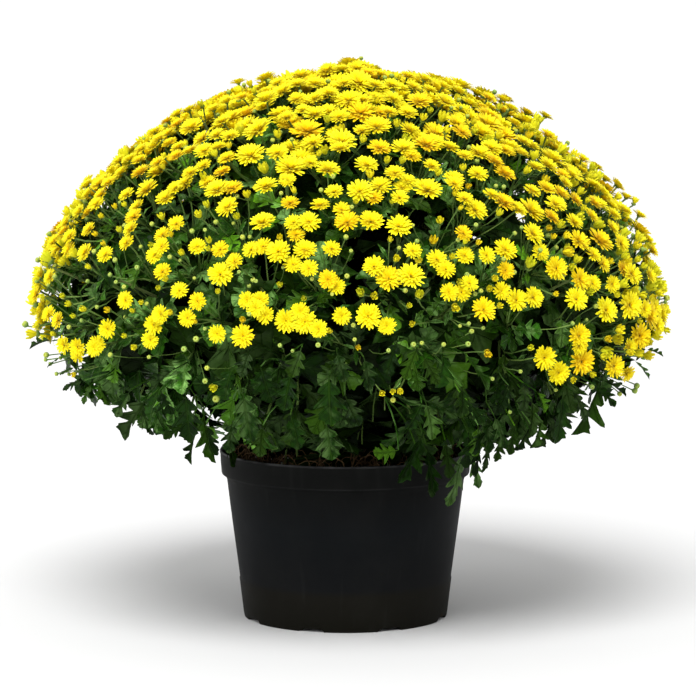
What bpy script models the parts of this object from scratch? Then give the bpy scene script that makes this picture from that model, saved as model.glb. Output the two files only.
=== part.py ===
# Pot chrysanthemum: a round garden mum in its black nursery pot.
# Metres, +Z up, origin on the floor under the middle of the pot.

import math

import bmesh
import bpy
from mathutils import Matrix, Vector, noise

# Gap that neighbouring solids keep
GAP = 0.0004

# Pot: a thin moulded tub with a stepped-out rim band and a notched standing ring
POT_HEIGHT = 0.204
POT_FOOT_RADIUS = 0.1235
POT_WALL_TOP_RADIUS = 0.144
POT_RIM_RADIUS = 0.1525
POT_RIM_BAND = 0.028
POT_RIM_TAPER = 0.002
POT_SHOULDER = 0.007
POT_WALL = 0.002
POT_FOOT_BAND = 0.047
POT_FOOT_STEP = 0.0008
POT_STAND_HEIGHT = 0.005
POT_STAND_WIDTH = 0.010
POT_SEGMENTS = 48
DRAIN_COUNT = 8
DRAIN_TURN = math.radians(-64.0)
DRAIN_NOTCH_WIDTH = 0.030
DRAIN_NOTCH_HEIGHT = 0.0035
DRAIN_HOLE_RADIUS = 0.006
DRAIN_HOLE_CIRCLE = 0.103

# Potting mix: fills the tub to just under the rim and holds the crown in a socket
SOIL_EDGE_HEIGHT = 0.190
SOIL_MOUND = 0.006
SOIL_SHOULDER_RADIUS = 0.090
SOIL_SHOULDER_SHARE = 0.6

# Root crown: the woody stump that all the stems leave
CROWN_RADIUS = 0.034
CROWN_BOTTOM = 0.168
CROWN_TOP = 0.212
CROWN_SEGMENTS = 20

# Canopy: an egg-shaped cushion, given by half of its section about the pot's axis
CANOPY_RADIUS = 0.388
CANOPY_WIDEST = 0.375
CANOPY_RISE = 0.300
CANOPY_DROP = 0.175
CANOPY_UPPER_POWER = 1.85
CANOPY_LOWER_POWER = 2.40
CANOPY_CENTRE = Vector((0.0, 0.0, 0.300))
CANOPY_SEGMENTS = 36
CANOPY_SWELL = 0.024
CANOPY_LUMPS = 2.3
LUMP_PLACE = Vector((3.1, 0.0, 0.0))
SWELL_FLOOR = 0.24
SWELL_FADE = 0.10

# Layers, as shares of the way from the canopy's centre to its outside
BLOOM_INSIDE = 0.942
LEAF_OUTSIDE = 0.936
SKIRT_OUTSIDE = 0.985
LEAF_INSIDE = 0.800

# Rings of sprays, by angle down from the top
TOP_RING_END = math.radians(19)
INNER_RING_END = math.radians(48)
BLOOM_END = math.radians(104)
SKIRT_END = math.radians(158)
RING_GAP = 0.0016
SIDE_GAPS = {"inner": 0.0042, "outer": 0.0021}
PROFILE_STEP = math.radians(11)

# Main stems
STEM_BASE_RADIUS = 0.0034
STEM_TIP_RADIUS = 0.0022
STEM_POINTS = 9
STEM_START_HEIGHT = 0.199
STEM_DEPTH_SHARE = 0.968
STEM_BEND_OUT = 0.34
STEM_BEND_UP = 0.62

# Rings of branches: how many, how far from the crown's middle they leave it, and their angles
RINGS = (
    {"name": "top", "count": 1, "root": 0.0, "start": 0.0, "end": TOP_RING_END},
    {"name": "inner", "count": 6, "root": 0.0135, "start": TOP_RING_END, "end": INNER_RING_END},
    {"name": "outer", "count": 12, "root": 0.0255, "start": INNER_RING_END, "end": BLOOM_END},
)

COLOURS = {
    "pot": ((0.012, 0.013, 0.015), 0.55),
    "potting_mix": ((0.045, 0.028, 0.018), 0.95),
    "wood": ((0.16, 0.13, 0.06), 0.80),
    "leaf": ((0.045, 0.125, 0.022), 0.55),
    "bloom": ((0.95, 0.74, 0.02), 0.60),
}


def clear_scene():
    for obj in list(bpy.data.objects):
        bpy.data.objects.remove(obj)


def make_collection(name, hidden=False):
    collection = bpy.data.collections.new(name)
    bpy.context.scene.collection.children.link(collection)
    collection.hide_render = hidden
    return collection


def make_material(name):
    colour, roughness = COLOURS[name]
    material = bpy.data.materials.new(name)
    material.use_nodes = True
    shader = material.node_tree.nodes["Principled BSDF"]
    shader.inputs["Base Color"].default_value = (*colour, 1.0)
    shader.inputs["Roughness"].default_value = roughness
    shader.inputs["Metallic"].default_value = 0.0
    return material


def add_object(name, data, collection, material=None):
    obj = bpy.data.objects.new(name, data)
    collection.objects.link(obj)
    if material is not None:
        data.materials.append(material)
    return obj


def polar(radius, height, turn):
    return Vector((radius * math.cos(turn), radius * math.sin(turn), height))


# Turned shapes


def turned(name, profile, segments, collection, material, closed_loop=False):
    """A profile of (radius, height) points, swept once round the Z axis by a Screw modifier."""
    mesh = bpy.data.meshes.new(name)
    points = [(radius, 0.0, height) for radius, height in profile]
    edges = [(i, i + 1) for i in range(len(points) - 1)]
    if closed_loop:
        edges.append((len(points) - 1, 0))
    mesh.from_pydata(points, edges, [])
    obj = add_object(name, mesh, collection, material)
    screw = obj.modifiers.new("turn", "SCREW")
    screw.axis = "Z"
    screw.steps = segments
    screw.render_steps = segments
    screw.use_merge_vertices = True
    screw.merge_threshold = 0.0001
    screw.use_smooth_shade = True
    return obj


def wall_radius(height):
    """Outer radius of the tub's plain wall."""
    share = height / (POT_HEIGHT - POT_RIM_BAND - POT_SHOULDER)
    return POT_FOOT_RADIUS + share * (POT_WALL_TOP_RADIUS - POT_FOOT_RADIUS)


def pot_outside():
    """Outer profile from the rim down to the standing ring."""
    band_bottom = POT_HEIGHT - POT_RIM_BAND
    wall_top = band_bottom - POT_SHOULDER
    return [
        (POT_RIM_RADIUS, POT_HEIGHT),
        (POT_RIM_RADIUS - POT_RIM_TAPER, band_bottom),
        (wall_radius(wall_top) + 0.002, wall_top + 0.002),
        (wall_radius(wall_top), wall_top),
        (wall_radius(POT_FOOT_BAND), POT_FOOT_BAND),
        (wall_radius(POT_FOOT_BAND) - POT_FOOT_STEP, POT_FOOT_BAND - POT_FOOT_STEP),
        (POT_FOOT_RADIUS, 0.002),
        (POT_FOOT_RADIUS - 0.001, 0.0),
    ]


def pot_floor_top():
    return POT_STAND_HEIGHT + POT_WALL


def pot_inside():
    """Inner profile from the floor's middle out and up to the rim."""
    band_bottom = POT_HEIGHT - POT_RIM_BAND
    wall_top = band_bottom - POT_SHOULDER
    floor_top = pot_floor_top()
    return [
        (0.0, floor_top),
        (wall_radius(floor_top) - POT_WALL - POT_FOOT_STEP, floor_top),
        (wall_radius(POT_FOOT_BAND) - POT_WALL - POT_FOOT_STEP, POT_FOOT_BAND),
        (wall_radius(wall_top) - POT_WALL, wall_top),
        (POT_RIM_RADIUS - POT_RIM_TAPER - POT_WALL, band_bottom),
        (POT_RIM_RADIUS - 0.003, POT_HEIGHT),
    ]


def stand_underside():
    """Underside profile, from the standing ring's sole in to the floor's middle."""
    inner = POT_FOOT_RADIUS - POT_STAND_WIDTH
    return [(inner, 0.0), (inner - 0.001, POT_STAND_HEIGHT), (0.0, POT_STAND_HEIGHT)]


def drain_turn(index):
    return DRAIN_TURN + index * 2 * math.pi / DRAIN_COUNT


def notch_cutter(index, cutters):
    """A box through the standing ring, where water runs out under the pot."""
    bpy.ops.mesh.primitive_cube_add(size=1.0)
    cutter = bpy.context.object
    cutter.name = f"notch_{index}"
    middle = POT_FOOT_RADIUS - POT_STAND_WIDTH / 2
    size = Matrix.Diagonal((POT_STAND_WIDTH * 2.2, DRAIN_NOTCH_WIDTH, DRAIN_NOTCH_HEIGHT * 2, 1.0))
    cutter.data.transform(size)
    cutter.location = polar(middle, 0.0, drain_turn(index))
    cutter.rotation_euler.z = drain_turn(index)
    hide_in(cutter, cutters)
    return cutter


def hole_cutter(index, cutters):
    """A round drain hole through the pot's floor."""
    bpy.ops.mesh.primitive_cylinder_add(vertices=12, radius=DRAIN_HOLE_RADIUS, depth=0.02)
    cutter = bpy.context.object
    cutter.name = f"drain_{index}"
    cutter.location = polar(DRAIN_HOLE_CIRCLE, POT_STAND_HEIGHT, drain_turn(index))
    hide_in(cutter, cutters)
    return cutter


def hide_in(cutter, cutters):
    for collection in list(cutter.users_collection):
        collection.objects.unlink(cutter)
    cutters.objects.link(cutter)
    cutter.hide_render = True
    cutter.display_type = "WIRE"


def cut(obj, cutter):
    modifier = obj.modifiers.new(f"less_{cutter.name}", "BOOLEAN")
    modifier.operation = "DIFFERENCE"
    modifier.object = cutter


def make_pot(parts, cutters, material):
    profile = pot_outside() + stand_underside() + pot_inside()
    pot = turned("pot", profile, POT_SEGMENTS, parts, material, closed_loop=True)
    for index in range(DRAIN_COUNT):
        cut(pot, notch_cutter(index, cutters))
        cut(pot, hole_cutter(index, cutters))
    return pot


def crown_profile(grow=0.0):
    """The stump's outside from its top down, made larger all round by grow."""
    height = CROWN_TOP - CROWN_BOTTOM
    return [
        (0.0, CROWN_TOP + grow),
        (CROWN_RADIUS * 0.62 + grow, CROWN_TOP - 0.04 * height + grow),
        (CROWN_RADIUS * 0.92 + grow, CROWN_TOP - 0.24 * height + grow),
        (CROWN_RADIUS + grow, CROWN_TOP - 0.50 * height),
        (CROWN_RADIUS * 0.80 + grow, CROWN_BOTTOM + 0.12 * height - grow),
        (CROWN_RADIUS * 0.40 + grow, CROWN_BOTTOM - grow),
        (0.0, CROWN_BOTTOM - grow),
    ]


def make_potting_mix(parts, cutters, material):
    walls = [point for point in pot_inside() if point[0] > 0 and point[1] < SOIL_EDGE_HEIGHT]
    inside = [(radius - GAP, max(height, pot_floor_top() + GAP)) for radius, height in walls]
    profile = [
        (0.0, SOIL_EDGE_HEIGHT + SOIL_MOUND),
        (SOIL_SHOULDER_RADIUS, SOIL_EDGE_HEIGHT + SOIL_MOUND * SOIL_SHOULDER_SHARE),
        (inside[-1][0], SOIL_EDGE_HEIGHT),
        *reversed(inside),
        (0.0, inside[0][1]),
    ]
    soil = turned("potting_mix", profile, POT_SEGMENTS, parts, material)
    socket = turned("crown_socket", crown_profile(GAP), POT_SEGMENTS, cutters, None)
    hide_in(socket, cutters)
    cut(soil, socket)
    return soil


# Canopy cells


def canopy_section(angle):
    """(radius, height) of the canopy's outside at an angle down from its top."""
    upper = angle <= math.pi / 2
    power = 2 / (CANOPY_UPPER_POWER if upper else CANOPY_LOWER_POWER)
    radius = CANOPY_RADIUS * abs(math.sin(angle)) ** power
    rise = abs(math.cos(angle)) ** power
    height = CANOPY_WIDEST + (CANOPY_RISE * rise if upper else -CANOPY_DROP * rise)
    return radius, height


def layer_point(angle, share):
    """A section point drawn in towards the canopy's centre."""
    radius, height = canopy_section(angle)
    return radius * share, CANOPY_CENTRE.z + (height - CANOPY_CENTRE.z) * share


def layer_run(start, end, share):
    """Points along one layer of the section, evenly spaced by angle."""
    steps = max(1, round((end - start) / PROFILE_STEP))
    return [layer_point(start + (end - start) * i / steps, share) for i in range(steps + 1)]


def bloom_section(start, end):
    return layer_run(start, end, 1.0) + layer_run(start, end, BLOOM_INSIDE)[::-1]


def leaf_section(start, end, has_skirt):
    outside = layer_run(start, end, LEAF_OUTSIDE)
    if has_skirt:
        outside += layer_run(end + 2 * RING_GAP, SKIRT_END, SKIRT_OUTSIDE)
        end = SKIRT_END
    return outside + layer_run(start, end, LEAF_INSIDE)[::-1]


def swell(mesh):
    """Moves points along rays from the canopy's centre, by an amount that depends on direction alone."""
    for vertex in mesh.vertices:
        ray = vertex.co - CANOPY_CENTRE
        lump = noise.noise(ray.normalized() * CANOPY_LUMPS + LUMP_PLACE)
        share = min(1.0, max(0.0, (vertex.co.z - SWELL_FLOOR) / SWELL_FADE))
        vertex.co = CANOPY_CENTRE + ray * (1.0 + CANOPY_SWELL * lump * share)


def wedge(name, section, first_turn, width, steps, parts, material):
    """A closed section, spun through part of a turn about the Z axis."""
    shape = bmesh.new()
    corners = [shape.verts.new(polar(radius, height, first_turn)) for radius, height in section]
    face = shape.faces.new(corners)
    bmesh.ops.spin(
        shape,
        geom=[face, *face.edges, *face.verts],
        cent=(0.0, 0.0, 0.0),
        axis=(0.0, 0.0, 1.0),
        angle=width,
        steps=steps,
        use_duplicate=False,
    )
    bmesh.ops.remove_doubles(shape, verts=shape.verts, dist=0.00001)
    bmesh.ops.recalc_face_normals(shape, faces=shape.faces)
    mesh = bpy.data.meshes.new(name)
    shape.to_mesh(mesh)
    shape.free()
    swell(mesh)
    return add_object(name, mesh, parts, material)


def cap(name, section, parts, material):
    """The top cell, turned all the way round."""
    shell = turned(name, section, CANOPY_SEGMENTS, parts, None)
    mesh = bpy.data.meshes.new_from_object(shell.evaluated_get(bpy.context.evaluated_depsgraph_get()))
    bpy.data.objects.remove(shell)
    mesh.materials.clear()
    swell(mesh)
    return add_object(name, mesh, parts, material)


def make_cell(kind, ring, index, parts, material):
    """The bloom layer or the leaf layer over one main stem."""
    name = branch_name(kind, ring, index)
    is_top = ring["count"] == 1
    start = 0.0 if is_top else ring["start"] + RING_GAP
    end = ring["end"] - RING_GAP
    if kind == "blooms":
        section = bloom_section(start, end)
    else:
        section = leaf_section(start, end, has_skirt=ring["name"] == "outer")
    if is_top:
        return cap(name, section, parts, material)
    width = 2 * math.pi / ring["count"]
    side_gap = SIDE_GAPS[ring["name"]]
    first_turn = branch_turn(ring, index) - width / 2 + side_gap
    steps = CANOPY_SEGMENTS // ring["count"]
    return wedge(name, section, first_turn, width - 2 * side_gap, steps, parts, material)


# Main stems


def branch_name(kind, ring, index):
    return f"{kind}_top" if ring["count"] == 1 else f"{kind}_{ring['name']}_{index + 1:02d}"


def branch_turn(ring, index):
    return (index + 0.5) * 2 * math.pi / ring["count"]


def stem_route(ring, index):
    """Points from inside the crown, up and out to just inside the bloom layer."""
    turn = branch_turn(ring, index)
    start = polar(ring["root"], STEM_START_HEIGHT, turn)
    middle_angle = 0.0 if ring["count"] == 1 else (ring["start"] + ring["end"]) / 2
    radius, height = layer_point(middle_angle, STEM_DEPTH_SHARE)
    end = polar(radius, height, turn)
    bend_radius = ring["root"] * 0.5 + radius * STEM_BEND_OUT
    bend = polar(bend_radius, start.z + (height - start.z) * STEM_BEND_UP, turn)
    route = []
    for i in range(STEM_POINTS):
        t = i / (STEM_POINTS - 1)
        route.append(start * (1 - t) ** 2 + bend * 2 * t * (1 - t) + end * t * t)
    return route


def stem_tube(name, route, grow, collection):
    """A tapering tube on a poly spline, lengthened at both ends by grow."""
    curve = bpy.data.curves.new(name, "CURVE")
    curve.dimensions = "3D"
    curve.bevel_depth = 1.0
    curve.bevel_resolution = 1
    curve.use_fill_caps = True
    spline = curve.splines.new("POLY")
    spline.points.add(len(route) - 1)
    ends = [route[0] - (route[1] - route[0]).normalized() * grow]
    ends += route[1:-1]
    ends += [route[-1] + (route[-1] - route[-2]).normalized() * grow]
    for i, (point, place) in enumerate(zip(spline.points, ends)):
        share = i / (len(route) - 1)
        point.co = (*place, 1.0)
        point.radius = STEM_BASE_RADIUS + share * (STEM_TIP_RADIUS - STEM_BASE_RADIUS) + grow
    return add_object(name, curve, collection)


def make_mesh_of(curve_object, collection, material):
    """The curve as a welded mesh object, in the curve's place."""
    graph = bpy.context.evaluated_depsgraph_get()
    mesh = bpy.data.meshes.new_from_object(curve_object.evaluated_get(graph))
    shape = bmesh.new()
    shape.from_mesh(mesh)
    bmesh.ops.remove_doubles(shape, verts=shape.verts, dist=0.00002)
    bmesh.ops.recalc_face_normals(shape, faces=shape.faces)
    shape.to_mesh(mesh)
    shape.free()
    name = curve_object.name
    place = curve_object.matrix_world.copy()
    bpy.data.objects.remove(curve_object)
    mesh.materials.clear()
    obj = add_object(name, mesh, collection, material)
    obj.matrix_world = place
    return obj


def make_stem(ring, index, parts, cutters, material):
    """(the stem, the slightly larger shape that makes room for it)."""
    name = branch_name("main_stem", ring, index)
    route = stem_route(ring, index)
    stem = make_mesh_of(stem_tube(name, route, 0.0, parts), parts, material)
    room = make_mesh_of(stem_tube(f"room_{name}", route, GAP, cutters), cutters, None)
    hide_in(room, cutters)
    return stem, room


def make_crown(parts, rooms, material):
    crown = turned("root_crown", crown_profile(), CROWN_SEGMENTS, parts, material)
    for room in rooms:
        cut(crown, room)
    return crown


def main():
    clear_scene()
    parts = make_collection("pot_chrysanthemum")
    cutters = make_collection("cutters", hidden=True)
    materials = {name: make_material(name) for name in COLOURS}
    make_pot(parts, cutters, materials["pot"])
    make_potting_mix(parts, cutters, materials["potting_mix"])
    rooms = []
    for ring in RINGS:
        for index in range(ring["count"]):
            _, room = make_stem(ring, index, parts, cutters, materials["wood"])
            rooms.append(room)
            cut(make_cell("leaves", ring, index, parts, materials["leaf"]), room)
            cut(make_cell("blooms", ring, index, parts, materials["bloom"]), room)
    make_crown(parts, rooms, materials["wood"])


main()
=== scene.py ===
import math

import bmesh
import bpy
import numpy as np
from mathutils import Matrix, Vector, noise
from mathutils.bvhtree import BVHTree


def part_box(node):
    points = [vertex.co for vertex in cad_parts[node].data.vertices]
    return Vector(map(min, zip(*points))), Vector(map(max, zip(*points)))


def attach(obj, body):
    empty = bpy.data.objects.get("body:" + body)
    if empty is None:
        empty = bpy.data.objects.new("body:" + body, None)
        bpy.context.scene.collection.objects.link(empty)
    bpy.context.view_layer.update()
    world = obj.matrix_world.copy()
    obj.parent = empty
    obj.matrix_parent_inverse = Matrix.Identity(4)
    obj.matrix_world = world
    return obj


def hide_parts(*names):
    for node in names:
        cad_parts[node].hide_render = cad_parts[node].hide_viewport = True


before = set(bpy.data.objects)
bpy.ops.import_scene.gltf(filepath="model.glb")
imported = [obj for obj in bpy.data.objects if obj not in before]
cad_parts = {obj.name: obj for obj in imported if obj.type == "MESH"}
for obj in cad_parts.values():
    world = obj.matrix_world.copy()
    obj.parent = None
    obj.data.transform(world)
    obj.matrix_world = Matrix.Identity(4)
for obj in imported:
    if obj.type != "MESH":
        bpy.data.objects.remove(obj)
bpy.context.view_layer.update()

up = Vector((0.0, 0.0, 1.0))
fullTurn = 2 * math.pi


def mixed(a, b, share):
    return a + (b - a) * share


def eased(low, high, value):  # 0 below low, 1 above high, smooth between
    share = min(1.0, max(0.0, (value - low) / (high - low)))
    return share * share * (3 - 2 * share)


def polar(radius, turn, height=0.0):
    return radius * math.cos(turn), radius * math.sin(turn), height


def turnsOf(sides):  # once round, with both ends
    return [fullTurn * i / sides for i in range(sides + 1)]


# Camera first: the photograph's pixels are used below to place the flowers on its side
photo = {
    "size": 696,            # px, both ways
    "pixel": 0.00121,       # m on the object, at the pot's axis
    "axisPixel": 345.5,     # px from the left to the pot's axis
    "floorPixel": 616.0,    # px from the top to the middle of the pot's foot
    "distance": 4.5,        # m from the pot's axis
    "height": 0.86,         # m above the floor
    "aimHeight": 0.33,      # m above the floor, about where the line of sight meets the plant
    "sensor": 36.0,         # mm
    "farthest": 60.0,       # m
}
halfPhoto = photo["size"] / 2


def makeCamera():
    drop = math.atan2(photo["height"] - photo["aimHeight"], photo["distance"])
    aim = Vector(((halfPhoto - photo["axisPixel"]) * photo["pixel"], 0.0, 0.0))
    aim.z = (photo["floorPixel"] - halfPhoto) * photo["pixel"] / math.cos(drop)
    eye = Vector((aim.x, -photo["distance"], photo["height"]))
    data = bpy.data.cameras.new("photoCamera")
    data.sensor_width = photo["sensor"]
    data.lens = photo["sensor"] * (aim - eye).length / (photo["pixel"] * photo["size"])
    data.clip_end = photo["farthest"]
    made = bpy.data.objects.new("photoCamera", data)
    made.location = eye
    made.rotation_euler = (aim - eye).to_track_quat("-Z", "Y").to_euler()
    bpy.context.scene.collection.objects.link(made)
    bpy.context.scene.camera = made
    bpy.context.view_layer.update()
    return made


camera = makeCamera()


def pixelRay(x, y):  # the eye, and the direction in which it sees that pixel of the photograph
    scale = photo["sensor"] / camera.data.lens / photo["size"]
    ahead = Vector(((x - halfPhoto) * scale, (halfPhoto - y) * scale, -1.0))
    return camera.location, (camera.matrix_world.to_3x3() @ ahead).normalized()


def inPhoto(point):  # that point's place in the photograph
    spot = camera.matrix_world.inverted() @ point
    scale = halfPhoto / (photo["sensor"] / camera.data.lens / 2) / -spot.z
    return halfPhoto + spot.x * scale, halfPhoto - spot.y * scale


# The canopy's outside, read from the frame as a distance for every direction from its middle
canopy = {
    "middle": Vector((0.0, 0.0, 0.300)),
    "tiltSteps": 54,        # rows of 3 degrees, from straight up
    "turnSteps": 120,
    "step": math.radians(3),
    "nudges": (-0.011, 0.0, 0.011),  # looks beside each other, so that no seam is fallen through
    "least": 0.05,          # m: a shorter reach is past the skirt's edge
    "smoothing": 3,         # passes that take the facets out
}


def towards(tilt, turn):
    return Vector(polar(math.sin(tilt), turn, math.cos(tilt)))


def solidTree(*prefixes):
    shape = bmesh.new()
    for name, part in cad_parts.items():
        if name.startswith(prefixes):
            shape.from_mesh(part.data)
    tree = BVHTree.FromBMesh(shape)
    shape.free()
    return tree


canopyTree = solidTree("blooms_", "leaves_")


def probe(tilt, turn):
    found = 0.0
    for nudge in canopy["nudges"]:
        ray = towards(tilt + nudge, turn)
        spot = canopyTree.ray_cast(canopy["middle"] + ray, -ray)[0]
        if spot is not None and (spot - canopy["middle"]).dot(ray) > 0:
            found = max(found, (spot - canopy["middle"]).length)
    return found


def readCanopy():
    middles = [(k + 0.5) * canopy["step"] for k in range(canopy["turnSteps"])]
    reach = np.array([[probe(tilt, turn) for turn in middles] for tilt in middles[:canopy["tiltSteps"]]])
    for i in range(1, canopy["tiltSteps"]):  # past the skirt's edge the last reach is kept
        reach[i] = np.where(reach[i] < canopy["least"], reach[i - 1], reach[i])
    for _ in range(canopy["smoothing"]):
        padded = np.concatenate([reach[:1], reach, reach[-1:]])
        reach = (padded[:-2] + 2 * padded[1:-1] + padded[2:]) / 4
        reach = (np.roll(reach, 1, 1) + 2 * reach + np.roll(reach, -1, 1)) / 4
    return reach


reachTable = readCanopy()


def reachAt(tilt, turn):
    row = min(max(tilt / canopy["step"] - 0.5, 0.0), canopy["tiltSteps"] - 1.001)
    column = (turn / canopy["step"] - 0.5) % canopy["turnSteps"]
    i, j = int(row), int(column)
    k = (j + 1) % canopy["turnSteps"]
    j %= canopy["turnSteps"]
    down, around = row - i, column - int(column)
    upper = mixed(reachTable[i, j], reachTable[i, k], around)
    lower = mixed(reachTable[i + 1, j], reachTable[i + 1, k], around)
    return mixed(upper, lower, down)


def skinPoint(tilt, turn, lift=0.0):
    return canopy["middle"] + towards(tilt, turn) * (reachAt(tilt, turn) + lift)


def skinNormal(tilt, turn, nudge=0.07):
    tilt = max(tilt, 0.12)  # a little off the pole, where every turn is the same point
    down = skinPoint(tilt + nudge, turn) - skinPoint(tilt - nudge, turn)
    around = skinPoint(tilt, turn + nudge) - skinPoint(tilt, turn - nudge)
    return down.cross(around).normalized()


def anglesOf(point):
    ray = point - canopy["middle"]
    return ray.angle(up, 0.0), math.atan2(ray.y, ray.x) % fullTurn


def skinDepth(point):  # how far below the skin
    return reachAt(*anglesOf(point)) - (point - canopy["middle"]).length


# Branches: which main stem carries a point, by the same rings as the frame's nodes
rings = {
    "topEdge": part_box("blooms_top")[1].x,
    "innerEdge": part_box("blooms_inner_02")[1].y,
    "inner": 6,
    "outer": 12,
}


def branchOf(point):
    across = math.hypot(point.x, point.y)
    turn = math.atan2(point.y, point.x) % fullTurn
    if point.z > canopy["middle"].z and across < rings["topEdge"]:
        return "top"
    ring = "inner" if point.z > canopy["middle"].z and across < rings["innerEdge"] else "outer"
    return f"{ring}_{int(turn / fullTurn * rings[ring]) % rings[ring] + 1:02d}"


branches = ["top"] + [f"{ring}_{i + 1:02d}" for ring in ("inner", "outer") for i in range(rings[ring])]


# Small shapes as arrays, copied many times into one mesh. Their UVs lie in one tile of an 8 by 8 sheet.
tiles = {"across": 8, "margin": 0.06}


def makeShape(points, faces, uvs, slot=0):
    corners = [c for face in faces for c in face]
    return {
        "points": np.array(points, float).reshape(-1, 3),
        "corners": np.array(corners, int),
        "sizes": np.array([len(face) for face in faces], int),
        "uvs": np.array(uvs, float)[corners],
        "slots": np.full(len(faces), slot, int),
    }


def joinShapes(shapes):
    shift = np.cumsum([0] + [len(s["points"]) for s in shapes[:-1]])
    joined = {key: np.concatenate([s[key] for s in shapes]) for key in ("points", "sizes", "uvs", "slots")}
    joined["corners"] = np.concatenate([s["corners"] + k for s, k in zip(shapes, shift)])
    return joined


def movedShape(shape, matrix):
    turned = np.array(matrix.to_3x3())
    return {**shape, "points": shape["points"] @ turned.T + np.array(matrix.translation)}


def inSlot(shape, slot):
    return {**shape, "slots": np.full(len(shape["slots"]), slot, int)}


def tiledShape(shape, tile):
    corner = np.array([tile % tiles["across"], tile // tiles["across"] % tiles["across"]])
    inside = tiles["margin"] + (1 - 2 * tiles["margin"]) * shape["uvs"]
    return {**shape, "uvs": (corner + inside) / tiles["across"]}


def strewn(shape, random):  # in a tile drawn at random
    return tiledShape(shape, int(random.integers(tiles["across"] ** 2)))


def drawn(shapes, random):
    return shapes[random.integers(len(shapes))]


def makePiece(name, shapes, finishes, replaced=()):
    whole = joinShapes(shapes)
    starts = np.concatenate([[0], np.cumsum(whole["sizes"])[:-1]])
    mesh = bpy.data.meshes.new(name)
    mesh.vertices.add(len(whole["points"]))
    mesh.vertices.foreach_set("co", whole["points"].ravel())
    mesh.loops.add(len(whole["corners"]))
    mesh.loops.foreach_set("vertex_index", whole["corners"])
    mesh.polygons.add(len(whole["sizes"]))
    mesh.polygons.foreach_set("loop_start", starts)
    mesh.polygons.foreach_set("material_index", whole["slots"])
    layer = mesh.uv_layers.new(name="OFBake")
    layer.uv.foreach_set("vector", whole["uvs"].astype(np.float32).ravel())
    mesh.update(calc_edges=True)
    mesh.validate()
    mesh.shade_smooth()
    piece = bpy.data.objects.new(name, mesh)
    bpy.context.scene.collection.objects.link(piece)
    for material in finishes:
        mesh.materials.append(material)
    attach(piece, "root")
    if replaced:
        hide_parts(*replaced)


def aimed(direction, spin, place, size=1.0):  # +Z of the shape goes along direction
    turn = direction.to_track_quat("Z", "Y").to_matrix().to_4x4()
    return Matrix.Translation(place) @ turn @ Matrix.Rotation(spin, 4, "Z") @ Matrix.Scale(size, 4)


def framed(forward, face, place, size=1.0):  # +X of the shape goes along forward, +Z towards face
    x = forward.normalized()
    y = face.cross(x).normalized()
    z = x.cross(y)
    turn = Matrix((x, y, z)).transposed().to_4x4()
    return Matrix.Translation(place) @ turn @ Matrix.Scale(size, 4)


def strip(rows, uvRows, slot=0, flip=False):  # a sheet through rows of points
    if flip:
        rows, uvRows = [row[::-1] for row in rows], [row[::-1] for row in uvRows]
    width = len(rows[0])
    faces = []
    for i in range(len(rows) - 1):
        for j in range(width - 1):
            a = i * width + j
            faces.append((a, a + width, a + width + 1, a + 1))
    return makeShape([p for row in rows for p in row], faces, [uv for row in uvRows for uv in row], slot)


def uvGrid(sides, count):
    return [[(i / sides, k / (count - 1)) for i in range(sides + 1)] for k in range(count)]


def lathe(profile, sides, slot=0):  # (radius, height) points turned about Z
    rows = [[polar(radius, turn, height) for turn in turnsOf(sides)] for radius, height in profile]
    return strip(rows, uvGrid(sides, len(profile)), slot, flip=True)


def curveThrough(start, lead, end, trail, count):  # a cubic that leaves by lead and arrives by trail
    points = []
    for i in range(count):
        t = i / (count - 1)
        s = 1 - t
        point = start * s**3 + (start + lead) * 3 * s * s * t
        points.append(point + (end - trail) * 3 * s * t * t + end * t**3)
    return points


def tube(path, radii, sides, slot=0):  # a round stem, its rings turned as little as can be
    side = (path[1] - path[0]).normalized().orthogonal().normalized()
    rows = []
    for k, point in enumerate(path):
        ahead = (path[min(k + 1, len(path) - 1)] - path[max(k - 1, 0)]).normalized()
        side = (side - ahead * side.dot(ahead)).normalized()
        other = ahead.cross(side)
        rows.append([point + (side * math.cos(a) + other * math.sin(a)) * radii[k] for a in turnsOf(sides)])
    return strip(rows, uvGrid(sides, len(path)), slot, flip=True)


def tapered(ends, count):
    return [mixed(*ends, k / (count - 1)) for k in range(count)]


# Materials
black = (0.0, 0.0, 0.0)
white = (1.0, 1.0, 1.0)


def startMaterial(name, roughness, specular, sheen=0.0):
    material = bpy.data.materials.new(name)
    material.use_nodes = True
    shader = material.node_tree.nodes["Principled BSDF"]
    shader.inputs["Roughness"].default_value = roughness
    shader.inputs["Specular IOR Level"].default_value = specular
    shader.inputs["Sheen Weight"].default_value = sheen
    return material, material.node_tree, shader


def node(tree, kind, inputs=None, **settings):
    made = tree.nodes.new("ShaderNode" + kind)
    for key, value in settings.items():
        setattr(made, key, value)
    for key, value in (inputs or {}).items():
        if isinstance(value, bpy.types.NodeSocket):
            tree.links.new(value, made.inputs[key])
        else:
            made.inputs[key].default_value = value
    return made


def maths(tree, operation, a, b=0.0, c=0.0):
    return node(tree, "Math", {0: a, 1: b, 2: c}, operation=operation).outputs[0]


def times(tree, a, b):
    return maths(tree, "MULTIPLY", a, b)


def ramp(tree, value, stops):
    made = node(tree, "ValToRGB", {"Fac": value})
    elements = made.color_ramp.elements
    while len(elements) < len(stops):
        elements.new(0.5)
    for element, (place, colour) in zip(elements, stops):
        element.position = place
        element.color = (*colour, 1.0)
    return made.outputs["Color"]


def mask(tree, value, low, high, most=1.0):  # black at low, as light as most at high
    return ramp(tree, value, [(low, black), (high, (most, most, most))])


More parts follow.
